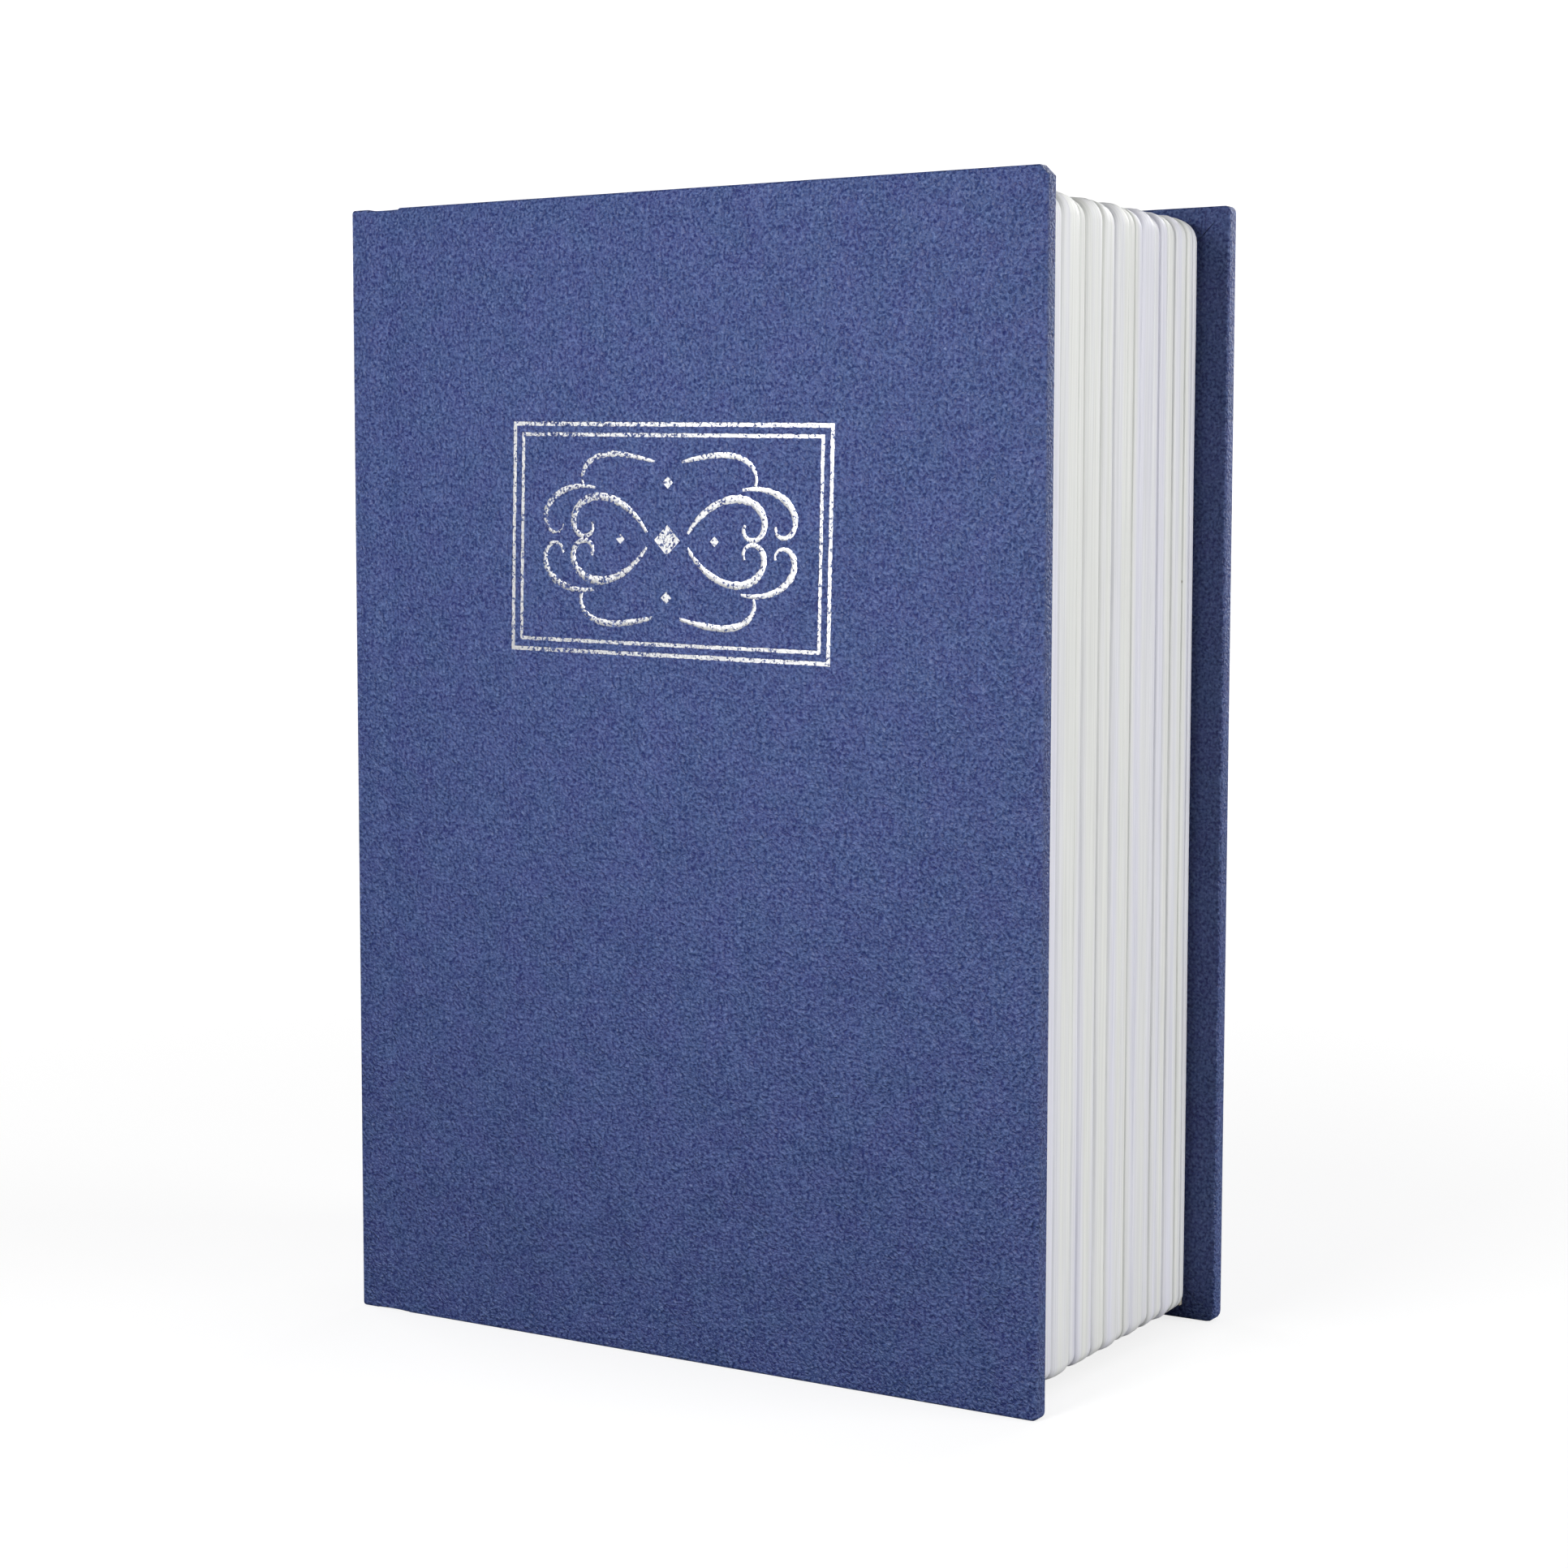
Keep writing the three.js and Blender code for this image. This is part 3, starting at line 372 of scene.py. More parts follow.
@dataclass(frozen=True)
class SilverFoil(Finish):
    """Aluminium foil, hot-stamped into the leatherette; it has missed some hollows of the grain."""

    colour: str = "#fbfbfc"
    roughness: float = 0.38
    speck_spacing: float = 0.3
    press_places: Pair = (-0.021, 0.008)
    press_gaps: Pair = (0.52, 0.425)
    edge_places: Pair = (-0.0182, -0.0174)
    edge_gaps: Pair = (-0.08, 0.0)
    missed_range: Pair = (-0.015, 0.02)
    cloth: Leatherette = field(default_factory=Leatherette)
    name: str = "silver_foil_hot_stamped"

    def dress(self, recipe: Recipe) -> None:
        """Lays the foil over the embossed cloth.

        Args:
            recipe: Material in the making.
        """
        relief = self.cloth.emboss(recipe)
        place = recipe.rest_place()
        specks = recipe.noise(place, self.speck_spacing, detail=3.0, roughness=0.7)
        # The foil follows the grain beneath it, so it glitters instead of shining evenly.
        foil = recipe.node(
            "ShaderNodeBsdfPrincipled",
            {"Base Color": linear(self.colour), "Metallic": 1.0, "Roughness": self.roughness,
             "Normal": recipe.bump(relief, strength=0.5, depth=0.05)},
        )
        # The stamp pressed less on the spine side, where more of the cloth shows through.
        across = recipe.along(place, Axis.X)
        gaps = recipe.ramp(across, *self.press_places, *self.press_gaps)
        # The upright lines there lie along the die's own edge and took the foil well.
        edge = recipe.ramp(across, *self.edge_places, *self.edge_gaps)
        short = recipe.maths("SUBTRACT", recipe.maths("ADD", gaps, edge), specks)
        missed = recipe.ramp(short, *self.missed_range)
        shaders = {0: missed, 1: foil.outputs[0], 2: recipe.shader.outputs[0]}
        seen = recipe.node("ShaderNodeMixShader", shaders)
        recipe.link(seen.outputs[0], recipe.output.inputs["Surface"])


@dataclass(frozen=True)
class SheetFinish(Finish):
    """Pressed board, card or paper: matt, with short fibres and a slightly uneven tone."""

    name: str
    base: str
    fleck: str
    fibre_spacing: float
    fibre_height: float
    fibre_stretch: Triple = (1.0, 1.0, 0.35)
    cloud_spacing: float = 9.0
    tone_range: Pair = (0.12, 0.36)
    roughness: float = 0.85
    bends: bool = False

    def dress(self, recipe: Recipe) -> None:
        """Adds the fibres and the uneven tone.

        Args:
            recipe: Material in the making.
        """
        place = recipe.rest_place() if self.bends else recipe.own_place()
        drawn = recipe.stretch(place, self.fibre_stretch)
        fibres = recipe.noise(drawn, self.fibre_spacing, detail=5.0, roughness=0.65)
        cloud = recipe.noise(place, self.cloud_spacing, detail=2.0)
        tone = recipe.ramp(recipe.maths("MULTIPLY", fibres, cloud), *self.tone_range)
        recipe.set(
            Base_Color=recipe.mix(tone, self.fleck, self.base), Roughness=self.roughness, IOR=1.45,
            Normal=recipe.bump(fibres, strength=0.5, depth=self.fibre_height),
        )


@dataclass(frozen=True)
class PageMoulding(Finish):
    """White styrene, vacuum-formed over a ribbed mould that imitates the edges of pages."""

    base: str = "#f3f3f7"
    valley_shade: str = "#dddde3"
    leaf_stretch: Triple = (0.012, 1.0, 0.012)
    leaf_spacing: float = 0.24
    leaf_range: Pair = (0.32, 0.6)
    leaf_height: float = 0.08
    cool: str = "#e5e5f8"
    warm: str = "#f0f3e3"
    tint_spacing: float = 2.6
    tint_range: Pair = (0.38, 0.62)
    tint_share: float = 0.38
    pit: str = "#b4b1aa"
    pit_spacing: float = 11.0
    pit_range: Pair = (0.012, 0.02)
    name: str = "styrene_white_moulded"

    def dress(self, recipe: Recipe) -> None:
        """Adds the leaves, their tints and a few pits.

        Args:
            recipe: Material in the making.
        """
        place = recipe.own_place()
        # Every leaf is a ridge that runs right round the block at one depth, so the lines follow Y alone.
        across = recipe.stretch(place, self.leaf_stretch)
        leaves = recipe.noise(across, self.leaf_spacing, detail=2.0)
        # Painted shade: the valleys between the leaves get a darker colour than their ridges.
        ridged = recipe.mix(recipe.ramp(leaves, *self.leaf_range), self.valley_shade, self.base)
        shift = recipe.noise(across, self.tint_spacing, detail=1.0)
        tint = recipe.mix(recipe.ramp(shift, *self.tint_range), self.cool, self.warm)
        colour = recipe.mix(self.tint_share, ridged, tint)
        clean = recipe.ramp(recipe.cells(place, self.pit_spacing), *self.pit_range)
        recipe.set(
            Base_Color=recipe.mix(clean, self.pit, colour), Roughness=0.5, IOR=1.55,
            Normal=recipe.bump(leaves, strength=0.7, depth=self.leaf_height),
        )


@dataclass(frozen=True)
class StovedEnamel(Finish):
    """Black enamel, sprayed on pressed steel and stoved, with a fine orange-peel texture."""

    base: str = "#1c1d1f"
    raised: str = "#2a2b2e"
    peel_spacing: float = 0.55
    peel_range: Pair = (0.6, 0.1)
    grit_spacing: float = 0.2
    grit_share: float = 0.3
    roughness: Pair = (0.5, 0.36)
    name: str = "black_enamel_stoved"

    def dress(self, recipe: Recipe) -> None:
        """Adds the orange peel and a little grit.

        Args:
            recipe: Material in the making.
        """
        place = recipe.own_place()
        crown = recipe.ramp(recipe.cells(place, self.peel_spacing), *self.peel_range)
        grit = recipe.noise(place, self.grit_spacing, detail=2.0)
        height = recipe.maths("MULTIPLY_ADD", grit, self.grit_share, crown)
        recipe.set(
            Base_Color=recipe.mix(crown, self.base, self.raised), IOR=1.5,
            Roughness=recipe.ramp(crown, 0.0, 1.0, *self.roughness),
            Normal=recipe.bump(height, strength=0.4, depth=0.05),
        )


class Grain(Enum):
    """How a metal surface was made, which sets the direction of its marks."""

    PLATED = (1.0, 1.0, 1.0)
    BRUSHED = (0.06, 1.0, 1.0)
    TURNED = (1.0, 0.08, 1.0)


@dataclass(frozen=True)
class MetalFinish(Finish):
    """Bare or plated metal with the fine marks of how it was made."""

    name: str
    base: str
    dull: str
    grain: Grain
    mark_spacing: float
    roughness: float
    mark_range: Pair = (0.3, 0.7)
    polish: float = 0.07
    scuff: float = 0.1
    bloom_spacing: float = 3.0
    bloom_range: Pair = (0.35, 0.65)

    def dress(self, recipe: Recipe) -> None:
        """Adds the marks and a soft bloom.

        Args:
            recipe: Material in the making.
        """
        drawn = recipe.stretch(recipe.own_place(), self.grain.value)
        marks = recipe.noise(drawn, self.mark_spacing, detail=5.0, roughness=0.6)
        bloom = recipe.ramp(recipe.noise(drawn, self.bloom_spacing, detail=3.0), *self.bloom_range)
        smooth, rough = self.roughness - self.polish, self.roughness + self.scuff
        recipe.set(
            Base_Color=recipe.mix(bloom, self.dull, self.base), Metallic=1.0,
            Roughness=recipe.ramp(marks, *self.mark_range, smooth, rough),
            Normal=recipe.bump(marks, strength=0.15, depth=0.01),
        )


@dataclass(frozen=True)
class StudioPaper(Finish):
    """Seamless white background paper, which keeps a soft shadow of the object."""

    colour: str = "#8f8f8f"
    near_glow: float = 0.78
    far_glow: float = 0.97
    reach: Pair = (0.1, 0.7)
    name: str = "background_paper_white"

    def dress(self, recipe: Recipe) -> None:
        """Adds the glow, less of it close to the object, where the shadow has to stay.

        Args:
            recipe: Material in the making.
        """
        place = recipe.own_place()
        away = recipe.node("ShaderNodeVectorMath", {0: place}, operation="LENGTH").outputs["Value"]
        glow = recipe.ramp(away, *self.reach, self.near_glow, self.far_glow)
        seen = recipe.node("ShaderNodeLightPath").outputs["Is Camera Ray"]
        recipe.set(
            Base_Color=linear(self.colour), Roughness=0.9, Emission_Color=linear(WHITE),
            Emission_Strength=recipe.maths("MULTIPLY", seen, glow), Specular_IOR_Level=0.1,
        )


# Meshes in the making


def evenly(start: float, end: float, steps: int) -> list[float]:
    """Values at even steps from one end to the other, both included."""
    return [start + (end - start) * step / steps for step in range(steps + 1)]


def waver(place: Sequence[float], lengths: Sequence[float]) -> float:
    """Smooth uneven value at a place, whose waves have a length along each axis."""
    return noise.noise(Vector([where / length for where, length in zip(place, lengths)]))


def add_object(name: str, data: ID) -> Object:
    """Adds an object to the scene.

    Args:
        name: Name of the object.
        data: Its mesh, curve, light or camera.

    Returns:
        The new object.
    """
    made = bpy.data.objects.new(name, data)
    bpy.context.scene.collection.objects.link(made)
    return made


class Workpiece:
    """A mesh in the making, in millimetres on the part's own axes."""

    def __init__(self, name: str) -> None:
        """Starts an empty mesh.

        Args:
            name: Name of the piece.
        """
        self.name = name
        self.bm: BMesh = bmesh.new()

    def block(self, low: Sequence[float], high: Sequence[float]) -> None:
        """Adds a plain block, to be shaped further.

        Args:
            low: Its lowest corner.
            high: Its highest corner.
        """
        verts = bmesh.ops.create_cube(self.bm, size=1.0)["verts"]
        spans = [b - a for a, b in zip(low, high)]
        middle = [(a + b) / 2 for a, b in zip(low, high)]
        bmesh.ops.scale(self.bm, vec=spans, verts=verts)
        bmesh.ops.translate(self.bm, vec=middle, verts=verts)

    def sheet(self, columns: int, rows: int, place: Callable[[int, int], Vector]) -> None:
        """Adds a grid whose corners are laid over a surface.

        Args:
            columns: Number of faces along the first direction.
            rows: Number of faces along the second direction.
            place: Gives the place of a corner from its column and row.
        """
        verts = bmesh.ops.create_grid(self.bm, x_segments=columns, y_segments=rows, size=1.0)["verts"]
        for vert in verts:
            column = round((vert.co.x + 1) / 2 * columns)
            row = round((vert.co.y + 1) / 2 * rows)
            vert.co = place(column, row)

    def faces_at(self, axis: Axis, where: float) -> list[BMFace]:
        """Faces that lie flat at one place along an axis."""
        return [f for f in self.bm.faces if all(abs(v.co[axis.value] - where) < TOUCH for v in f.verts)]

    def edges_at(self, axis: Axis, where: float) -> list[BMEdge]:
        """Edges that lie at one place along an axis."""
        return [e for e in self.bm.edges if all(abs(v.co[axis.value] - where) < TOUCH for v in e.verts)]

    def round(self, edges: Iterable[BMEdge], radius: float, segments: int) -> None:
        """Rounds edges to a radius."""
        bmesh.ops.bevel(
            self.bm, geom=list(edges), offset=radius, offset_type="OFFSET", segments=segments,
            profile=0.5, affect="EDGES", material=-1, clamp_overlap=True,
        )

    def slice(self, faces: Iterable[BMFace], point: Sequence[float], normal: Sequence[float]) -> None:
        """Cuts faces along a plane, without taking them apart.

        Args:
            faces: Faces that are cut.
            point: A point of the plane.
            normal: Direction across the plane.
        """
        chosen = list(faces)
        edges = {e for f in chosen for e in f.edges}
        verts = {v for f in chosen for v in f.verts}
        bmesh.ops.bisect_plane(
            self.bm, geom=[*chosen, *edges, *verts], dist=TOUCH, plane_co=point, plane_no=normal
        )

    def remove(self, faces: Iterable[BMFace]) -> None:
        """Takes faces out."""
        bmesh.ops.delete(self.bm, geom=list(faces), context="FACES")

    def turn_towards(self, near: Vector, way: Vector) -> None:
        """Turns an open sheet over if it looks the other way.

        Args:
            near: Point whose nearest face is looked at.
            way: Direction in which that face has to look.
        """
        self.bm.normal_update()
        nearest = min(self.bm.faces, key=lambda f: (f.calc_center_median() - near).length)
        if nearest.normal.dot(way) < 0:
            bmesh.ops.reverse_faces(self.bm, faces=self.bm.faces)

    def thicken(self, thickness: float) -> None:
        """Gives an open skin a wall on its inner side."""
        bmesh.ops.solidify(self.bm, geom=self.bm.faces[:], thickness=thickness)

    def weld(self) -> None:
        """Merges corners that meet and turns all faces outwards."""
        bmesh.ops.remove_doubles(self.bm, verts=self.bm.verts, dist=TOUCH * 10)
        bmesh.ops.dissolve_degenerate(self.bm, edges=self.bm.edges, dist=TOUCH)
        bmesh.ops.recalc_face_normals(self.bm, faces=self.bm.faces)

    def add(self, other: "Workpiece") -> None:
        """Takes over the mesh of another workpiece.

        Args:
            other: The other workpiece, which is used up.
        """
        passing = bpy.data.meshes.new("passing")
        other.bm.to_mesh(passing)
        other.bm.free()
        self.bm.from_mesh(passing)
        bpy.data.meshes.remove(passing)

    def finish(self, materials: Sequence[Material], sharp: float = 38.0) -> Object:
        """Turns the mesh into an object in metres.

        Args:
            materials: Materials by the index that the faces carry.
            sharp: Angle in degrees above which an edge stays sharp.

        Returns:
            The new object, linked into the scene.
        """
        bmesh.ops.scale(self.bm, vec=(MM, MM, MM), verts=self.bm.verts)
        mesh = bpy.data.meshes.new(self.name)
        self.bm.to_mesh(mesh)
        self.bm.free()
        for material in materials:
            mesh.materials.append(material)
        mesh.shade_smooth()
        mesh.set_sharp_from_angle(angle=math.radians(sharp))
        places = mesh.attributes.new(REST_ATTRIBUTE, "FLOAT_VECTOR", "POINT")
        places.data.foreach_set("vector", [c for v in mesh.vertices for c in v.co])
        LOG.info("%s: %d faces", self.name, len(mesh.polygons))
        return add_object(self.name, mesh)


def rounded_outline(
    left: float, right: float, bottom: float, top: float, radii: Sequence[float],
    corner_steps: int = 6, side_steps: tuple[int, int] = (14, 24),
) -> list[Pair]:
    """Rounded rectangle with the same number of points whatever its size.

    Args:
        left: Lowest X.
        right: Highest X.
        bottom: Lowest Z.
        top: Highest Z.
        radii: Corner radii from the lower left corner anticlockwise.
        corner_steps: Steps round each corner.
        side_steps: Steps along the horizontal and along the upright sides.

    Returns:
        Points in X and Z; the first one is not repeated at the end.
    """
    centres = [
        (left + radii[0], bottom + radii[0]),
        (right - radii[1], bottom + radii[1]),
        (right - radii[2], top - radii[2]),
        (left + radii[3], top - radii[3]),
    ]
    arcs = []
    for corner, (x, z) in enumerate(centres):
        # The first arc starts at the left, half a turn round.
        start = math.pi / 2 * (2 + corner)
        turns = evenly(start, start + math.pi / 2, corner_steps)
        arcs.append([(x + radii[corner] * math.cos(t), z + radii[corner] * math.sin(t)) for t in turns])
    points = []
    for corner, arc in enumerate(arcs):
        (x, z), (next_x, next_z) = arc[-1], arcs[(corner + 1) % 4][0]
        shares = evenly(0.0, 1.0, side_steps[corner % 2])[1:-1]
        points += [*arc, *((x + (next_x - x) * share, z + (next_z - z) * share) for share in shares)]
    return points


def joint_dip(x: float) -> float:
    """How far the cloth sinks between the boards, at one place across the joint."""
    reach = min(x - BOOK.spine_inner_x, BOOK.board_x - x) / BOOK.joint_slope
    return BOOK.joint_dip * (1 - math.cos(math.pi * min(1.0, max(0.0, reach)))) / 2


# Sub-assemblies


@dataclass
class ClothCase:
    """The leatherette over the two covers, the spine and the joints between them."""

    front_corner: tuple[float, int] = (0.95, 1)
    back_corner: tuple[float, int] = (0.95, 4)
    neat_corner: tuple[float, int] = (0.6, 5)
    edge_radius: float = 0.36
    edge_steps: int = 4
    mitre_slit: float = 0.08
    mitre_inset: float = 1.6
    joint_columns: int = 12
    joint_rows: int = 20
    fold_radius: float = 0.3
    fold_steps: int = 8
    flap_overlap: float = 0.4
    flap_roundness: float = 0.9
    flap_steps: int = 3
    tail_sag: float = 0.06
    swell: float = 0.03
    patch: float = 2.5
    cover_waves: Triple = (17.0, 1.0, 11.0)
    cover_seed: float = 3.1
    spine_waves: Triple = (1.0, 9.0, 13.0)
    spine_seed: float = 7.3

    def cover(self, side: Side) -> Workpiece:
        """Cloth over one board: outer face, three wrapped edges and mitred turn-ins.

        Args:
            side: Which cover.

        Returns:
            The cloth with its thickness.
        """
        outer = BOOK.outer_y(side)
        inner = outer + side.value * BOOK.cover
        piece = Workpiece("cover")
        piece.block((BOOK.board_x, min(outer, inner), 0), (BOOK.fore_x, max(outer, inner), BOOK.height))
        bulky = self.front_corner if side is Side.FRONT else self.back_corner
        for z in (0.0, BOOK.height):
            # The cloth is bulky at one corner of each cover, where its folds lie on one another; the
            # front one turns in one straight fold.
            corner = set(piece.edges_at(Axis.Z, z)) & set(piece.edges_at(Axis.X, BOOK.fore_x))
            radius, steps = bulky if (z > 0) == (side is Side.FRONT) else self.neat_corner
            piece.round(corner, radius, steps)
        open_end = set(piece.edges_at(Axis.X, BOOK.board_x))
        rims = {*piece.edges_at(Axis.Y, outer), *piece.edges_at(Axis.Y, inner)} - open_end
        piece.round(rims, self.edge_radius, self.edge_steps)
        piece.remove(piece.faces_at(Axis.X, BOOK.board_x))
        fore = BOOK.fore_x - BOOK.turn_in
        piece.slice(piece.faces_at(Axis.Y, inner), (fore, 0, 0), (1, 0, 0))
        self.open_window(piece, Axis.Y, inner, fore)
        self.slit_mitres(piece, inner, fore)
        if side is Side.FRONT:
            FoilFrame().press(piece, outer)
        self.loosen(piece, outer, side)
        piece.thicken(BOOK.cloth)
        return piece

    def open_window(self, piece: Workpiece, axis: Axis, inner: float, fore: float = math.inf) -> None:
        """Cuts away an inner face inside the turn-ins.

        Args:
            piece: Skin of a cover or of the spine.
            axis: Axis across its inner face.
            inner: Place of that face along the axis.
            fore: Where the turn-in of the fore-edge begins, for a cover.
        """
        tail, head = BOOK.turn_in, BOOK.height - BOOK.turn_in
        for z in (tail, head):
            piece.slice(piece.faces_at(axis, inner), (0, 0, z), (0, 0, 1))
        centres = {face: face.calc_center_median() for face in piece.faces_at(axis, inner)}
        piece.remove([face for face, at in centres.items() if at.x < fore and tail < at.z < head])

    def slit_mitres(self, piece: Workpiece, inner: float, fore: float) -> None:
        """Slits the mitres of the turn-ins at the two corners.

        Args:
            piece: Skin of the cover.
            inner: Depth of its inner face.
            fore: Where the turn-in of the fore-edge begins.
        """
        half = self.mitre_slit / 2
        for corner_z, turn in ((BOOK.turn_in, -1), (BOOK.height - BOOK.turn_in, 1)):
            along = Vector((1, 0, turn)).normalized()
            across = Vector((1, 0, -turn)).normalized()
            corner = Vector((fore, 0, corner_z))
            limit = corner + along * (BOOK.turn_in - self.mitre_inset) * math.sqrt(2)
            near = [f for f in piece.faces_at(Axis.Y, inner)
                    if (f.calc_center_median().z - corner_z) * turn > -BOOK.turn_in]
            piece.slice(near, limit, along)
            for shift in (-half, half):
                piece.slice(piece.faces_at(Axis.Y, inner), corner + across * shift, across)
            slit = []
            for face in piece.faces_at(Axis.Y, inner):
                offset = face.calc_center_median() - corner
                reach = Vector((offset.x, 0, offset.z))
                if abs(reach.dot(across)) < half and 0 < reach.dot(along) < (limit - corner).length:
                    slit.append(face)
            piece.remove(slit)

    def loosen(self, piece: Workpiece, outer: float, side: Side) -> None:
        """Divides the outer face finely and lets it swell a little, as glued cloth does.

        Args:
            piece: Skin of the cover.
            outer: Depth of its outer face.
            side: Which cover.
        """
        count_x = int((BOOK.fore_x - BOOK.board_x) / self.patch)
        count_z = int(BOOK.height / self.patch)
        for step in range(1, count_x):
            x = BOOK.board_x + step * self.patch
            piece.slice(piece.faces_at(Axis.Y, outer), (x, 0, 0), (1, 0, 0))
        for step in range(1, count_z):
            piece.slice(piece.faces_at(Axis.Y, outer), (0, 0, step * self.patch), (0, 0, 1))
        flat = {v for f in piece.faces_at(Axis.Y, outer) for v in f.verts}
        for vert in flat:
            x, z = vert.co.x, vert.co.z
            rim = min(x - BOOK.board_x, BOOK.fore_x - self.edge_radius - x, z - self.edge_radius,
                      BOOK.height - self.edge_radius - z)
            fade = min(1.0, max(0.0, rim / self.patch))
            wave = waver((x, side.value * self.cover_seed, z), self.cover_waves)
            vert.co.y += side.value * self.swell * fade * wave

    def joint(self, side: Side) -> Workpiece:
        """Cloth over one joint, folded back at head and tail.

        Args:
            side: Which cover the joint leads to.

        Returns:
            The strip with its thickness.
        """
        outer = BOOK.outer_y(side)
        radius = self.fold_radius
        tail, head = self.tail_sag + radius, BOOK.height - BOOK.joint_dip - radius
        turns = evenly(0.0, math.pi, self.fold_steps)
        arc = [(radius * math.sin(t), radius * (1 + math.cos(t))) for t in turns]
        path = [
            (BOOK.turn_in, 2 * radius),
            *((tail - reach, depth) for reach, depth in arc),
            *((z, 0.0) for z in evenly(tail, head, self.joint_rows)[1:-1]),
            *((head + reach, depth) for reach, depth in reversed(arc)),
            (BOOK.height - BOOK.turn_in, 2 * radius),
        ]
        across = evenly(BOOK.spine_inner_x, BOOK.board_x, self.joint_columns)
        piece = Workpiece("joint")

        def place(column: int, row: int) -> Vector:
            """Corner of the grid on the dipped and folded strip."""
            z, depth = path[row]
            return Vector((across[column], outer + side.value * (depth + joint_dip(across[column])), z))

        piece.sheet(self.joint_columns, len(path) - 1, place)
        piece.turn_towards(Vector((across[0], outer, BOOK.height / 2)), Vector((0, -side.value, 0)))
        piece.thicken(BOOK.cloth)
        return piece

    def board_end(self, side: Side, at_head: bool) -> Workpiece:
        """Cloth folded round the end of a board beside the joint, at the head or at the tail.

        Args:
            side: Which cover.
            at_head: Head or tail.

        Returns:
            The flap, a little thicker than the cloth so that it sinks into the board.
        """
        shown = BOOK.outer_y(side) + side.value * self.fold_radius
        inner = BOOK.outer_y(side) + side.value * BOOK.cover
        reach = BOOK.lining_margin + self.flap_overlap
        low, high = (BOOK.height - reach, BOOK.height) if at_head else (0.0, reach)
        piece = Workpiece("board_end")
        piece.block((BOOK.board_x - BOOK.cloth, min(shown, inner), low),
                    (BOOK.board_x + BOOK.cloth / 2, max(shown, inner), high))
        fold = piece.edges_at(Axis.Z, BOOK.height if at_head else 0.0)
        piece.round(fold, BOOK.cloth * self.flap_roundness, self.flap_steps)
        return piece

    def spine(self) -> Workpiece:
        """Cloth round the spine board, turned in at head and tail.

        Returns:
            The cloth with its thickness.
        """
        piece = Workpiece("spine")
        piece.block((BOOK.spine_x, BOOK.front_y, 0), (BOOK.spine_inner_x, BOOK.back_y, BOOK.height))
        inner = set(piece.edges_at(Axis.X, BOOK.spine_inner_x))
        piece.round(set(piece.bm.edges) - inner, self.edge_radius, self.edge_steps)
        self.open_window(piece, Axis.X, BOOK.spine_inner_x)
        for step in range(1, int(BOOK.height / self.patch)):
            piece.slice(piece.faces_at(Axis.X, BOOK.spine_x), (0, 0, step * self.patch), (0, 0, 1))
        for vert in {v for f in piece.faces_at(Axis.X, BOOK.spine_x) for v in f.verts}:
            place = (self.spine_seed, vert.co.y, vert.co.z)
            vert.co.x += self.swell * waver(place, self.spine_waves)
        piece.thicken(BOOK.cloth)
        return piece

    def join(self, name: str, side: Side) -> Workpiece:
        """Joins the cloth of one side; that of the spine goes with the back.

        Args:
            name: Name of the piece.
            side: Which cover it covers.

        Returns:
            The cloth of the cover, its joint and its board's ends.
        """
        parts = [self.cover(side), self.joint(side)]
        if side is Side.BACK:
            parts.append(self.spine())
        piece = Workpiece(name)
        for part in (*parts, self.board_end(side, True), self.board_end(side, False)):
            piece.add(part)
        return piece

    def build(self, cloth: Material, foil: Material) -> None:
        """Builds both pieces of the case and sets the back one, with the spine, on the case.

        Args:
            cloth: Leatherette.
            foil: Stamped foil of the frame on the front cover.
        """
        front_cloth = self.join("cover_cloth_front", Side.FRONT).finish([cloth, foil])
        BOOK.spine_inner_x * MM
        BOOK.board_x * MM
        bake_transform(front_cloth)
        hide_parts("front_cover_leatherette")
        back_cloth = self.join("case_cloth_back_and_spine", Side.BACK).finish([cloth])
        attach(back_cloth, Body.CASE.value)
        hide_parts("case_leatherette")


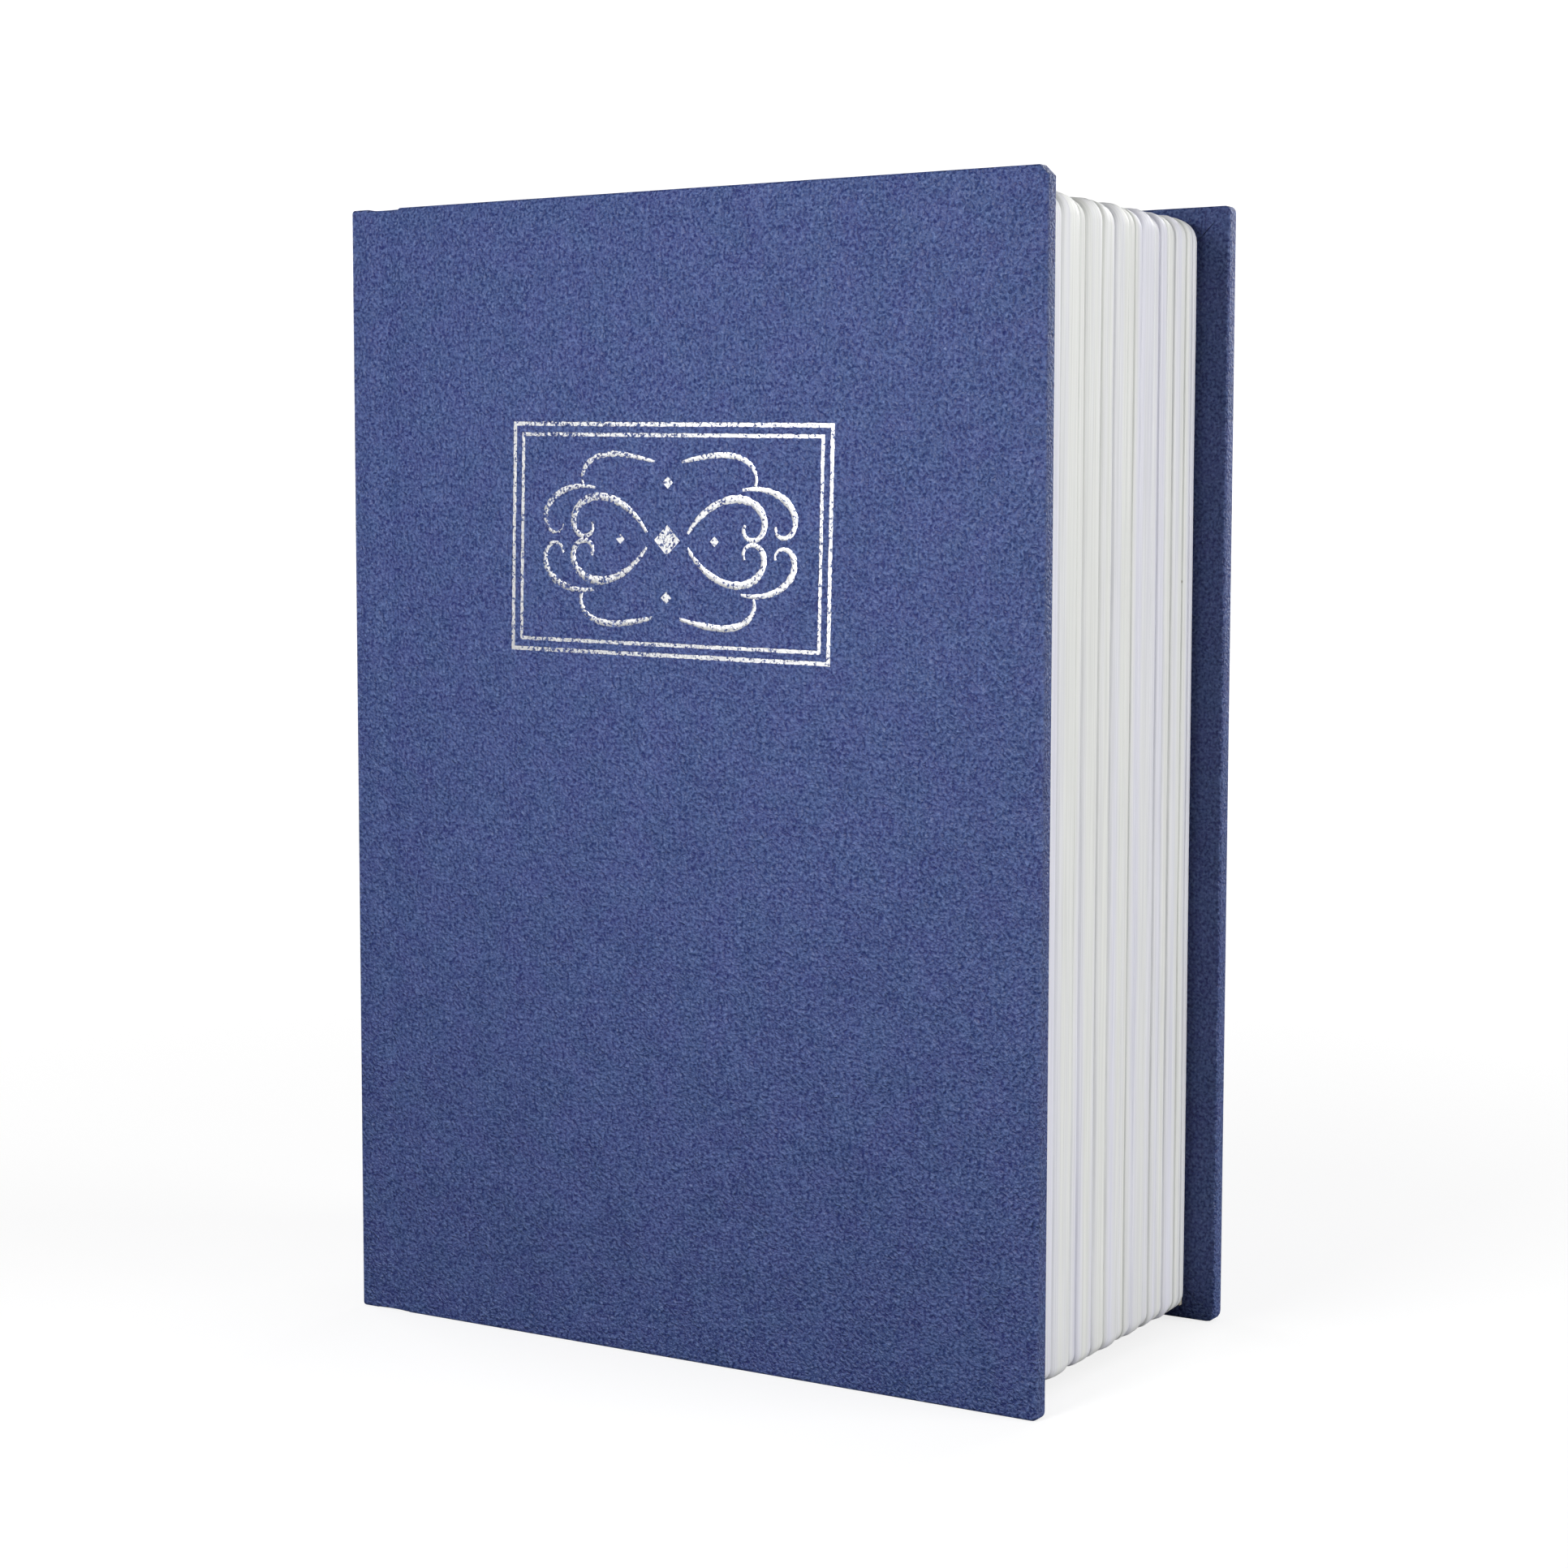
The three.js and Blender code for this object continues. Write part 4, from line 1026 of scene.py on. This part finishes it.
@dataclass
class FoilFrame:
    """Double line of foil, pressed into the front cover."""

    width: float = 37.4
    height: float = 22.9
    centre_x: float = -0.9
    head_gap: float = 22.3
    outer_line: float = 0.46
    line_gap: float = 0.6
    inner_line: float = 0.42
    depth: float = 0.06
    wall: float = 0.03
    askew: float = -1.2
    ragged: float = 0.07
    ragged_spacing: float = 0.3

    @property
    def turn(self) -> Matrix:
        """Rotation by which the stamp stood askew on the cover."""
        return Matrix.Rotation(math.radians(-self.askew), 3, "Y")

    @property
    def centre(self) -> Vector:
        """Middle of the frame on the cover."""
        return Vector((self.centre_x, 0, BOOK.height - self.head_gap - self.height / 2))

    def inset_of(self, place: Vector) -> float:
        """How far a place lies inside the frame's outer edge; negative outside it."""
        straight = self.turn.inverted() @ (place - self.centre)
        return min(self.width / 2 - abs(straight.x), self.height / 2 - abs(straight.z))

    def press(self, piece: Workpiece, outer: float) -> None:
        """Presses the lines into the outer face of the front cover.

        Args:
            piece: Skin of the cover.
            outer: Depth of its outer face.
        """
        second = self.outer_line + self.line_gap
        across, _, upwards = self.turn.col
        ways = [(self.width / 2, across), (self.height / 2, upwards)]
        for inset in (0.0, self.outer_line, second, second + self.inner_line):
            for end in (-1, 1):
                for half, way in ways:
                    place = self.centre + way * end * (half - inset)
                    piece.slice(piece.faces_at(Axis.Y, outer), place, way)
        lines = []
        for face in piece.faces_at(Axis.Y, outer):
            inset = self.inset_of(face.calc_center_median())
            if 0 < inset < self.outer_line or second < inset < second + self.inner_line:
                lines.append(face)
        self.roughen(piece, set(lines))
        bmesh.ops.inset_region(
            piece.bm, faces=lines, thickness=self.wall, depth=-self.depth, use_even_offset=True,
            use_boundary=True,
        )
        for face in lines:
            face.material_index = 1

    def roughen(self, piece: Workpiece, lines: set[BMFace]) -> None:
        """Makes the edges of the lines uneven, as foil tears off along the grain.

        Args:
            piece: Skin of the cover.
            lines: Faces that the stamp presses down.
        """
        rims = {e for f in lines for e in f.edges if len(lines.intersection(e.link_faces)) == 1}
        for edge in rims:
            cuts = int(edge.calc_length() / self.ragged_spacing) - 1
            if cuts < 1:
                continue
            made = bmesh.ops.bisect_edges(piece.bm, edges=[edge], cuts=cuts)["geom_split"]
            ends = {v for e in made if isinstance(e, BMEdge) for v in e.verts if len(v.link_edges) == 2}
            # A shift between the two values keeps the two directions apart.
            for vert in ends:
                seed = vert.co / self.ragged_spacing
                vert.co.x += self.ragged * noise.noise(seed)
                vert.co.z += self.ragged * noise.noise(seed + Vector((31.7, 0, 5.3)))


@dataclass(frozen=True)
class Flourish:
    """One pen stroke of the ornament, from the middle of the frame; widths in millimetres."""

    x: float
    z: float
    heading: float
    bend: float
    curl: float
    length: float
    end_width: float = 0.3
    swell: float = 0.4
    ragged: float = 0.35
    ragged_spacing: float = 3.0

    def points(self, mirror: tuple[int, int], steps: int = 48) -> list[tuple[Vector, float]]:
        """Points of the stroke.

        Args:
            mirror: 1 or -1 for left and right, and for up and down.
            steps: How many steps the stroke is drawn in.

        Returns:
            Places, each with the width of the stroke there.
        """
        x, z, heading = self.x, self.z, math.radians(self.heading)
        step_length = self.length / steps
        made = []
        for step in range(steps + 1):
            share = step / steps
            place = Vector((x * mirror[0], 0, z * mirror[1]))
            uneven = 1 + self.ragged * noise.noise(place * self.ragged_spacing)
            made.append((place, (self.end_width + self.swell * math.sin(math.pi * share)) * uneven))
            heading += (self.bend + self.curl * share**3) * step_length
            x += math.cos(heading) * step_length
            z += math.sin(heading) * step_length
        return made


@dataclass
class Ornament:
    """Symmetrical scrolls and lozenges, stamped in foil inside the frame."""

    frame: FoilFrame = field(default_factory=FoilFrame)
    proud: float = 0.02
    flatness: float = 0.08
    strokes: tuple[Flourish, ...] = (
        Flourish(2.4, 0.7, 58, -0.12, -1.15, 15.6, swell=0.5),
        Flourish(8.6, 5.0, 12, -0.14, -1.3, 11.3),
        Flourish(1.6, 7.6, 14, -0.03, -0.75, 10.4, swell=0.35),
    )
    lozenges: tuple[Triple, ...] = (
        (0, 0, 1.5), (0, 5.6, 0.6), (0, -5.6, 0.6), (5.5, 0, 0.5), (-5.5, 0, 0.5),
    )

    def draw_strokes(self) -> Mesh:
        """Draws the strokes as round wires.

        Returns:
            Their mesh, in millimetres from the middle of the frame.
        """
        curve = bpy.data.curves.new("flourish", "CURVE")
        curve.dimensions = "3D"
        # With this radius the radius of a point is the width of the wire there.
        curve.bevel_depth = 0.5
        curve.bevel_resolution = 2
        curve.use_fill_caps = True
        for stroke in self.strokes:
            for mirror in ((1, 1), (1, -1), (-1, 1), (-1, -1)):
                points = stroke.points(mirror)
                spline = curve.splines.new("POLY")
                spline.points.add(len(points) - 1)
                for target, (place, width) in zip(spline.points, points):
                    target.co = (*place, 1.0)
                    target.radius = width
        drawn = add_object("flourish", curve)
        bpy.context.view_layer.update()
        mesh = bpy.data.meshes.new_from_object(drawn)
        bpy.data.objects.remove(drawn)
        return mesh

    def add_lozenges(self, piece: Workpiece) -> None:
        """Adds the lozenges as flat plates.

        Args:
            piece: Workpiece that takes them.
        """
        turn = Matrix.Rotation(math.pi / 2, 3, "X")
        for x, z, half in self.lozenges:
            made = bmesh.ops.create_circle(piece.bm, cap_ends=True, segments=4, radius=half)["verts"]
            bmesh.ops.rotate(piece.bm, cent=(0, 0, 0), matrix=turn, verts=made)
            bmesh.ops.translate(piece.bm, vec=(x, self.proud, z), verts=made)
            faces = list({f for v in made for f in v.link_faces})
            raised = bmesh.ops.extrude_face_region(piece.bm, geom=faces)["geom"]
            top = [g for g in raised if isinstance(g, BMVert)]
            bmesh.ops.translate(piece.bm, vec=(0, -2 * self.proud, 0), verts=top)

    def build(self, foil: Material) -> None:
        """Builds the ornament and sets it on the front cover.

        Args:
            foil: Stamped foil.
        """
        piece = Workpiece("foil_ornament")
        wires = self.draw_strokes()
        piece.bm.from_mesh(wires)
        bpy.data.meshes.remove(wires)
        bmesh.ops.scale(piece.bm, vec=(1, self.flatness, 1), verts=piece.bm.verts)
        self.add_lozenges(piece)
        bmesh.ops.rotate(piece.bm, cent=(0, 0, 0), matrix=self.frame.turn, verts=piece.bm.verts)
        bmesh.ops.translate(
            piece.bm, vec=self.frame.centre + Vector((0, BOOK.front_y, 0)), verts=piece.bm.verts
        )
        bmesh.ops.recalc_face_normals(piece.bm, faces=piece.bm.faces)
        made = piece.finish([foil], sharp=60.0)
        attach(made, Body.FRONT_COVER.value)


@dataclass(frozen=True)
class Pocket:
    """One step of the opening in the page block, by its edges and its radii from the lower left."""

    left: float
    right: float
    bottom: float
    top: float
    radii: tuple[float, float, float, float]

    def ring(self, y: float, grow: float = 0.0) -> list[Vector]:
        """One ring of the pocket's wall.

        Args:
            y: Depth of the ring.
            grow: How far it lies outside the wall, at the rounded rim.

        Returns:
            Its points, from the lower left corner on.
        """
        outline = rounded_outline(
            self.left - grow, self.right + grow, self.bottom - grow, self.top + grow, self.radii
        )
        return [Vector((x, y, z)) for x, z in outline]


@dataclass
class PageBlockForm:
    """Moulded block of imitation pages with the stepped pocket for the box."""

    spine_x: float = -37.75
    fore_x: float = 37.0
    tail_z: float = 0.9
    head_z: float = 113.9
    front_y: float = -19.0
    back_y: float = 18.7
    ledge_y: float = -12.3
    corner: float = 2.3
    spine_corner: float = 0.5
    groove: float = 0.55
    rim: float = 0.3
    rim_steps: int = 4
    unevenness: float = 0.035
    waves: Triple = (14.0, 1.7, 19.0)
    door_pocket: Pocket = Pocket(-32.3, 32.0, 6.4, 108.6, (0.5, 3.5, 3.5, 0.5))
    box_pocket: Pocket = Pocket(-27.9, 30.7, 7.7, 107.3, (2.7, 2.7, 2.7, 2.7))
    edge_shares: tuple[float, ...] = (
        0, 0.06, 0.12, 0.183, 0.287, 0.32, 0.418, 0.49, 0.572, 0.609, 0.651, 0.731, 0.765, 0.811,
        0.855, 0.904, 0.933, 0.971, 1,
    )
    groove_shares: tuple[float, ...] = (
        0.3, 0.7, 0.6, 0.45, 0.7, 1, 1, 0.95, 0.55, 1, 0.5, 0.55, 1, 0.7, 1, 0.5, 0.8, 1, 1.5,
    )
    crest_shares: tuple[float, ...] = (
        0.1, 0.25, 0.2, 0, 0.3, 0.05, 0.1, 0, 0.25, 0.15, 0.05, 0.3, 0.1, 0.2, 0, 0.35, 0.15, 0.1,
    )
    step_shares: tuple[float, ...] = (0, 0.03, 0.08, 0.16, 0.3, 0.5, 0.7, 0.84, 0.92, 0.97)
    crispness: int = 8
    tail_corner: Pair = (1.2, 2.0)
    quire_shares: tuple[float, ...] = (0, 0.15, 0.32, 0.49, 0.651, 0.75, 0.855, 1)
    quire_drop: float = 0.32
    quire_fullness: float = 0.6

    def arch(self, share: float) -> float:
        """How far the head sinks between two quires.

        Args:
            share: Share of the block's depth, 0 at the front.

        Returns:
            The drop in millimetres.
        """
        for start, end in zip(self.quire_shares, self.quire_shares[1:]):
            if share < end:
                arch = math.sin(math.pi * max(0.0, share - start) / (end - start))
                return self.quire_drop * (1 - arch**self.quire_fullness)
        return self.quire_drop

    def stations(self) -> list[Pair]:
        """Depth and inset of each ring round the page edges.

        Returns:
            Pairs of Y and inset, from the front to the back.
        """
        made = []
        for bundle, start in enumerate(self.edge_shares[:-1]):
            width = self.edge_shares[bundle + 1] - start
            crest = self.crest_shares[bundle]
            for step in self.step_shares:
                edge = self.groove_shares[bundle if step < 0.5 else bundle + 1]
                inset = crest + max(0.0, edge - crest) * abs(2 * step - 1) ** self.crispness
                y = self.front_y + (self.back_y - self.front_y) * (start + width * step)
                made.append((y, inset * self.groove))
        made.append((self.back_y, self.groove_shares[-1] * self.groove))
        return made

    def ring(self, y: float, inset: float) -> list[Vector]:
        """One ring round the page edges, slightly uneven as moulded leaves are.

        Args:
            y: Depth of the ring.
            inset: How far it lies inside the crests of the pages.

        Returns:
            Its points, from the lower left corner on.
        """
        share = (y - self.front_y) / (self.back_y - self.front_y)
        tail = self.tail_corner[0] + (self.tail_corner[1] - self.tail_corner[0]) * share
        sunk = self.arch(share)
        outline = rounded_outline(
            self.spine_x, self.fore_x - inset, self.tail_z + inset + sunk / 2, self.head_z - inset - sunk,
            [self.spine_corner, tail - inset / 2, self.corner - inset / 2, self.spine_corner],
        )
        points = []
        for x, z in outline:
            wave = waver((x, y, z), self.waves) * self.unevenness
            if x > self.spine_x + self.corner:
                x += wave if x > self.fore_x - self.corner else 0.0
                z += wave * (1 if z > BOOK.height / 2 else -1)
            points.append(Vector((x, y, z)))
        return points

    def build(self, moulding: Material) -> None:
        """Builds the block and sets it on the case.

        Args:
            moulding: White styrene.
        """
        rings = [self.ring(y, inset) for y, inset in self.stations()]
        rings += [self.box_pocket.ring(y) for y in (self.back_y, self.ledge_y)]
        rings.append(self.door_pocket.ring(self.ledge_y))
        for angle in evenly(0.0, math.pi / 2, self.rim_steps):
            y = self.front_y + self.rim * (1 - math.sin(angle))
            rings.append(self.door_pocket.ring(y, self.rim * (1 - math.cos(angle))))
        rings.append(rings[0])
        count = len(rings[0])
        piece = Workpiece("page_block_ribbed")
        piece.sheet(count, len(rings) - 1, lambda column, row: rings[row][column % count])
        piece.weld()
        made = piece.finish([moulding], sharp=50.0)
        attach(made, Body.CASE.value)
        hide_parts("page_block")


@dataclass
class Linings:
    """Paper inside the covers; the front sheet runs over the joint on to the spine."""

    paper: float = 0.15
    joint_depth: float = 0.9
    rows: int = 16
    board_columns: int = 24
    joint_columns: int = 10
    spine_columns: int = 12
    spine_end: float = 2.0
    straight: float = 1.0
    floor_ends: Pair = (0.35, 0.3)
    board_bend: tuple[Pair, ...] = ((0.4, 0.0), (0.1, -0.05), (0.0, -0.25))
    floor_bend: tuple[Pair, ...] = ((0.0, 0.35), (-0.1, 0.08))
    spine_bend: tuple[Pair, ...] = ((0.05, 0.05), (0.0, 0.3))

    @property
    def spine_x(self) -> float:
        """Face of the paper that lies inside the spine."""
        return BOOK.spine_inner_x + BOOK.glue + self.paper

    @property
    def board_x(self) -> float:
        """Face of the paper that lies on the edge of a board."""
        return BOOK.board_x - self.paper

    def bend(self, x: float, y: float, offsets: Iterable[Pair], inwards: int = 1) -> list[Pair]:
        """Points of a bend round one corner, by their offsets from it."""
        return [(x + along, y + inwards * depth) for along, depth in offsets]

    def lay(self, piece: Workpiece, path: list[Pair], towards: Vector) -> None:
        """Lays a strip of paper along a path in plan, between the lining margins.

        Args:
            piece: Workpiece that takes the strip.
            path: Points in X and Y of the face that shows.
            towards: Direction in which the first stretch of the strip faces.
        """
        heights = evenly(BOOK.lining_margin, BOOK.height - BOOK.lining_margin, self.rows)
        piece.sheet(len(path) - 1, self.rows, lambda column, row: Vector((*path[column], heights[row])))
        piece.turn_towards(Vector((*path[0], heights[0])), towards)
        piece.thicken(self.paper)

    def front_path(self) -> list[Pair]:
        """Path of the front lining from the fore-edge over the joint to the spine.

        Returns:
            Points in X and Y of the face that shows.
        """
        face_y = BOOK.front_y + BOOK.cover + BOOK.glue + self.paper
        joint_y = BOOK.front_y + self.joint_depth + self.paper
        edge = self.bend(self.board_x, face_y, self.board_bend)
        board = evenly(BOOK.fore_x - BOOK.lining_margin, edge[0][0], self.board_columns)
        floor = evenly(
            self.board_x - self.floor_ends[0], self.spine_x + self.floor_ends[1], self.joint_columns
        )
        spine = evenly(joint_y + self.straight, BOOK.back_y - self.spine_end, self.spine_columns)
        return [
            *((x, face_y) for x in board),
            *edge[1:],
            *self.bend(self.board_x, joint_y, self.floor_bend),
            *((x, joint_y) for x in floor),
            *self.bend(self.spine_x, joint_y, self.spine_bend),
            *((self.spine_x, y) for y in spine),
        ]

    def build(self, paper: Material) -> None:
        """Builds the linings and sets the back strip on the case.

        Args:
            paper: White lining paper.
        """
        front = Workpiece("lining_front")
        self.lay(front, self.front_path(), Vector((0, 1, 0)))
        sheet = front.finish([paper])
        (BOOK.spine_inner_x + 0.25) * MM
        (BOOK.board_x - self.paper) * MM
        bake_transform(sheet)
        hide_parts("front_pastedown")
        back = Workpiece("lining_back_joint")
        floor_y = BOOK.back_y - self.joint_depth - self.paper
        path = [
            (self.board_x, floor_y),
            (self.spine_x + self.floor_ends[1], floor_y),
            *self.bend(self.spine_x, floor_y, self.spine_bend, -1),
            (self.spine_x, floor_y - self.straight),
        ]
        self.lay(back, path, Vector((0, -1, 0)))
        strip = back.finish([paper])
        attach(strip, Body.CASE.value)
        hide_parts("spine_lining")


LINING_PAPER = SheetFinish(
    "lining_paper_calendered", "#e1ded7", "#d3cfc6", fibre_spacing=0.5, fibre_height=0.02, bends=True
)


@dataclass
class FrameFinishes:
    """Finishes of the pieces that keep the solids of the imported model."""

    nodes: dict[str, Object]
    finishes: tuple[tuple[Finish, tuple[str, ...]], ...] = (
        (replace(LINING_PAPER, name="pastedown_paper_calendered", bends=False), ("back_pastedown",)),
        (SheetFinish("cream_card_pressed", "#efe8d8", "#dcd2ba", fibre_spacing=0.7, fibre_height=0.03),
         ("backing_sheet",)),
        (SheetFinish("greyboard_pressed", "#a79f93", "#857d72", fibre_spacing=0.9, fibre_height=0.05),
         ("front_cover_board", "spine_board", "back_cover_board")),
        (StovedEnamel(), ("steel_box", "box_door")),
        (MetalFinish("steel_zinc_plated", "#c3c6ca", "#a9acb0", Grain.PLATED, 0.35, 0.36),
         ("hinge_pin", "lock_washer", "lock_nut", "stop_washer", "lock_cam", "cam_screw")),
        (MetalFinish("nickel_plated_bright", "#d6d4cf", "#c4c2bd", Grain.TURNED, 0.25, 0.2),
         ("lock_housing", "lock_plug")),
        (MetalFinish("brass_stamped", "#c2a35a", "#a98a45", Grain.BRUSHED, 0.3, 0.34),
         ("lock_wafer_1", "lock_wafer_2", "lock_wafer_3", "lock_wafer_4")),
    )

    def build(self) -> None:
        """Gives every finish to its nodes."""
        for finish, names in self.finishes:
            material = finish.build()
            for name in names:
                piece = self.nodes[name]
                if not piece.material_slots:
                    piece.data.materials.append(material)
                for place in piece.material_slots:
                    place.material = material
                LOG.info("%s: %s", name, material.name)


@dataclass(frozen=True)
class Softbox:
    """One square soft light, with its places and size in metres and its power in watts."""

    name: str
    place: Triple
    aim: Triple
    size: float
    power: float

    def build(self) -> None:
        """Sets up the light, out of the camera's sight."""
        data = bpy.data.lights.new(self.name, "AREA")
        data.shape = "SQUARE"
        data.size = self.size
        data.energy = self.power
        light = add_object(self.name, data)
        light.visible_camera = False
        direction = Vector(self.aim) - Vector(self.place)
        turn = direction.to_track_quat("-Z", "Y").to_matrix().to_4x4()
        light.matrix_world = Matrix.Translation(Vector(self.place)) @ turn


@dataclass
class Studio:
    """Floor, backdrop, soft light and the camera at the photograph's angle."""

    azimuth: float = 31.49
    elevation: float = 4.93
    roll: float = 0.09
    camera_place: Triple = (161.6, -264.9, 82.7)
    focal_pixels: float = 3690.0
    image_pixels: float = 1932.0
    sensor: float = 36.0
    ambient: float = 0.145
    paper_front: float = -900.0
    paper_back: float = 900.0
    paper_top: float = 1500.0
    paper_bend: float = 500.0
    bend_steps: int = 12
    paper_half: float = 2200.0
    lights: tuple[Softbox, ...] = (
        Softbox("key_light", (0.005, -0.2, 0.12), (0.01, 0, 0.05), 0.06, 0.3),
        Softbox("white_card", (-0.38, -0.86, 0.32), (0, 0, 0.08), 0.6, 1.25),
        Softbox("side_light", (0.82, 0.20, 0.24), (0, 0, 0.06), 0.5, 5.4),
        Softbox("back_light", (0.0, 0.95, 0.28), (0, 0, 0.06), 0.5, 6.0),
        Softbox("spine_light", (-0.88, 0.24, 0.22), (0, 0, 0.06), 0.5, 4.0),
    )

    def camera(self) -> None:
        """Sets up the camera."""
        data = bpy.data.cameras.new("camera")
        data.sensor_width = self.sensor
        data.lens = self.focal_pixels / self.image_pixels * self.sensor
        data.clip_start, data.clip_end = 0.01, 20.0
        place = Matrix.Translation(Vector(self.camera_place) * MM)
        for degrees, axis in ((self.azimuth, "Z"), (90 - self.elevation, "X"), (self.roll, "Z")):
            place = place @ Matrix.Rotation(math.radians(degrees), 4, axis)
        camera = add_object("camera", data)
        camera.matrix_world = place
        bpy.context.scene.camera = camera

    def world(self) -> None:
        """Even soft light from all sides, with white where the surroundings themselves are seen."""
        world = bpy.data.worlds.new("studio")
        bpy.context.scene.world = world
        world.use_nodes = True
        tree = world.node_tree
        background = tree.nodes["Background"]
        path = tree.nodes.new("ShaderNodeLightPath")
        strength = tree.nodes.new("ShaderNodeMapRange")
        strength.inputs["To Min"].default_value = self.ambient
        strength.inputs["To Max"].default_value = 1.0
        tree.links.new(path.outputs["Is Camera Ray"], strength.inputs["Value"])
        tree.links.new(strength.outputs["Result"], background.inputs["Strength"])
        background.inputs["Color"].default_value = linear(WHITE)

    def floor(self, paper: Material) -> None:
        """Lays the background paper as one sheet that sweeps up behind the object.

        Args:
            paper: White background paper.
        """
        profile = [(self.paper_front, 0.0)]
        for angle in evenly(0.0, math.pi / 2, self.bend_steps):
            reach = self.paper_back - self.paper_bend * (1 - math.sin(angle))
            profile.append((reach, self.paper_bend * (1 - math.cos(angle))))
        profile.append((self.paper_back, self.paper_top))
        turn = Matrix.Rotation(math.radians(self.azimuth), 3, "Z")
        sides = (-self.paper_half, 0.0, self.paper_half)
        piece = Workpiece("background_paper")
        piece.sheet(2, len(profile) - 1, lambda side, row: turn @ Vector((sides[side], *profile[row])))
        made = piece.finish([paper])

    def build(self, paper: Material) -> None:
        """Builds the studio.

        Args:
            paper: White background paper.
        """
        self.camera()
        self.world()
        self.floor(paper)
        for light in self.lights:
            light.build()
        bpy.context.scene.view_settings.view_transform = "Standard"


def main() -> None:
    """Loads the frame, builds the pieces in order and reports each of them."""
    logging.basicConfig(level=logging.INFO, format="%(name)s %(message)s")
    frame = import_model()
    foil = SilverFoil().build()
    ClothCase().build(Leatherette().build(), foil)
    Ornament().build(foil)
    PageBlockForm().build(PageMoulding().build())
    Linings().build(LINING_PAPER.build())
    FrameFinishes(frame["nodes"]).build()
    Studio().build(StudioPaper().build())


if __name__ == "__main__":
    main()
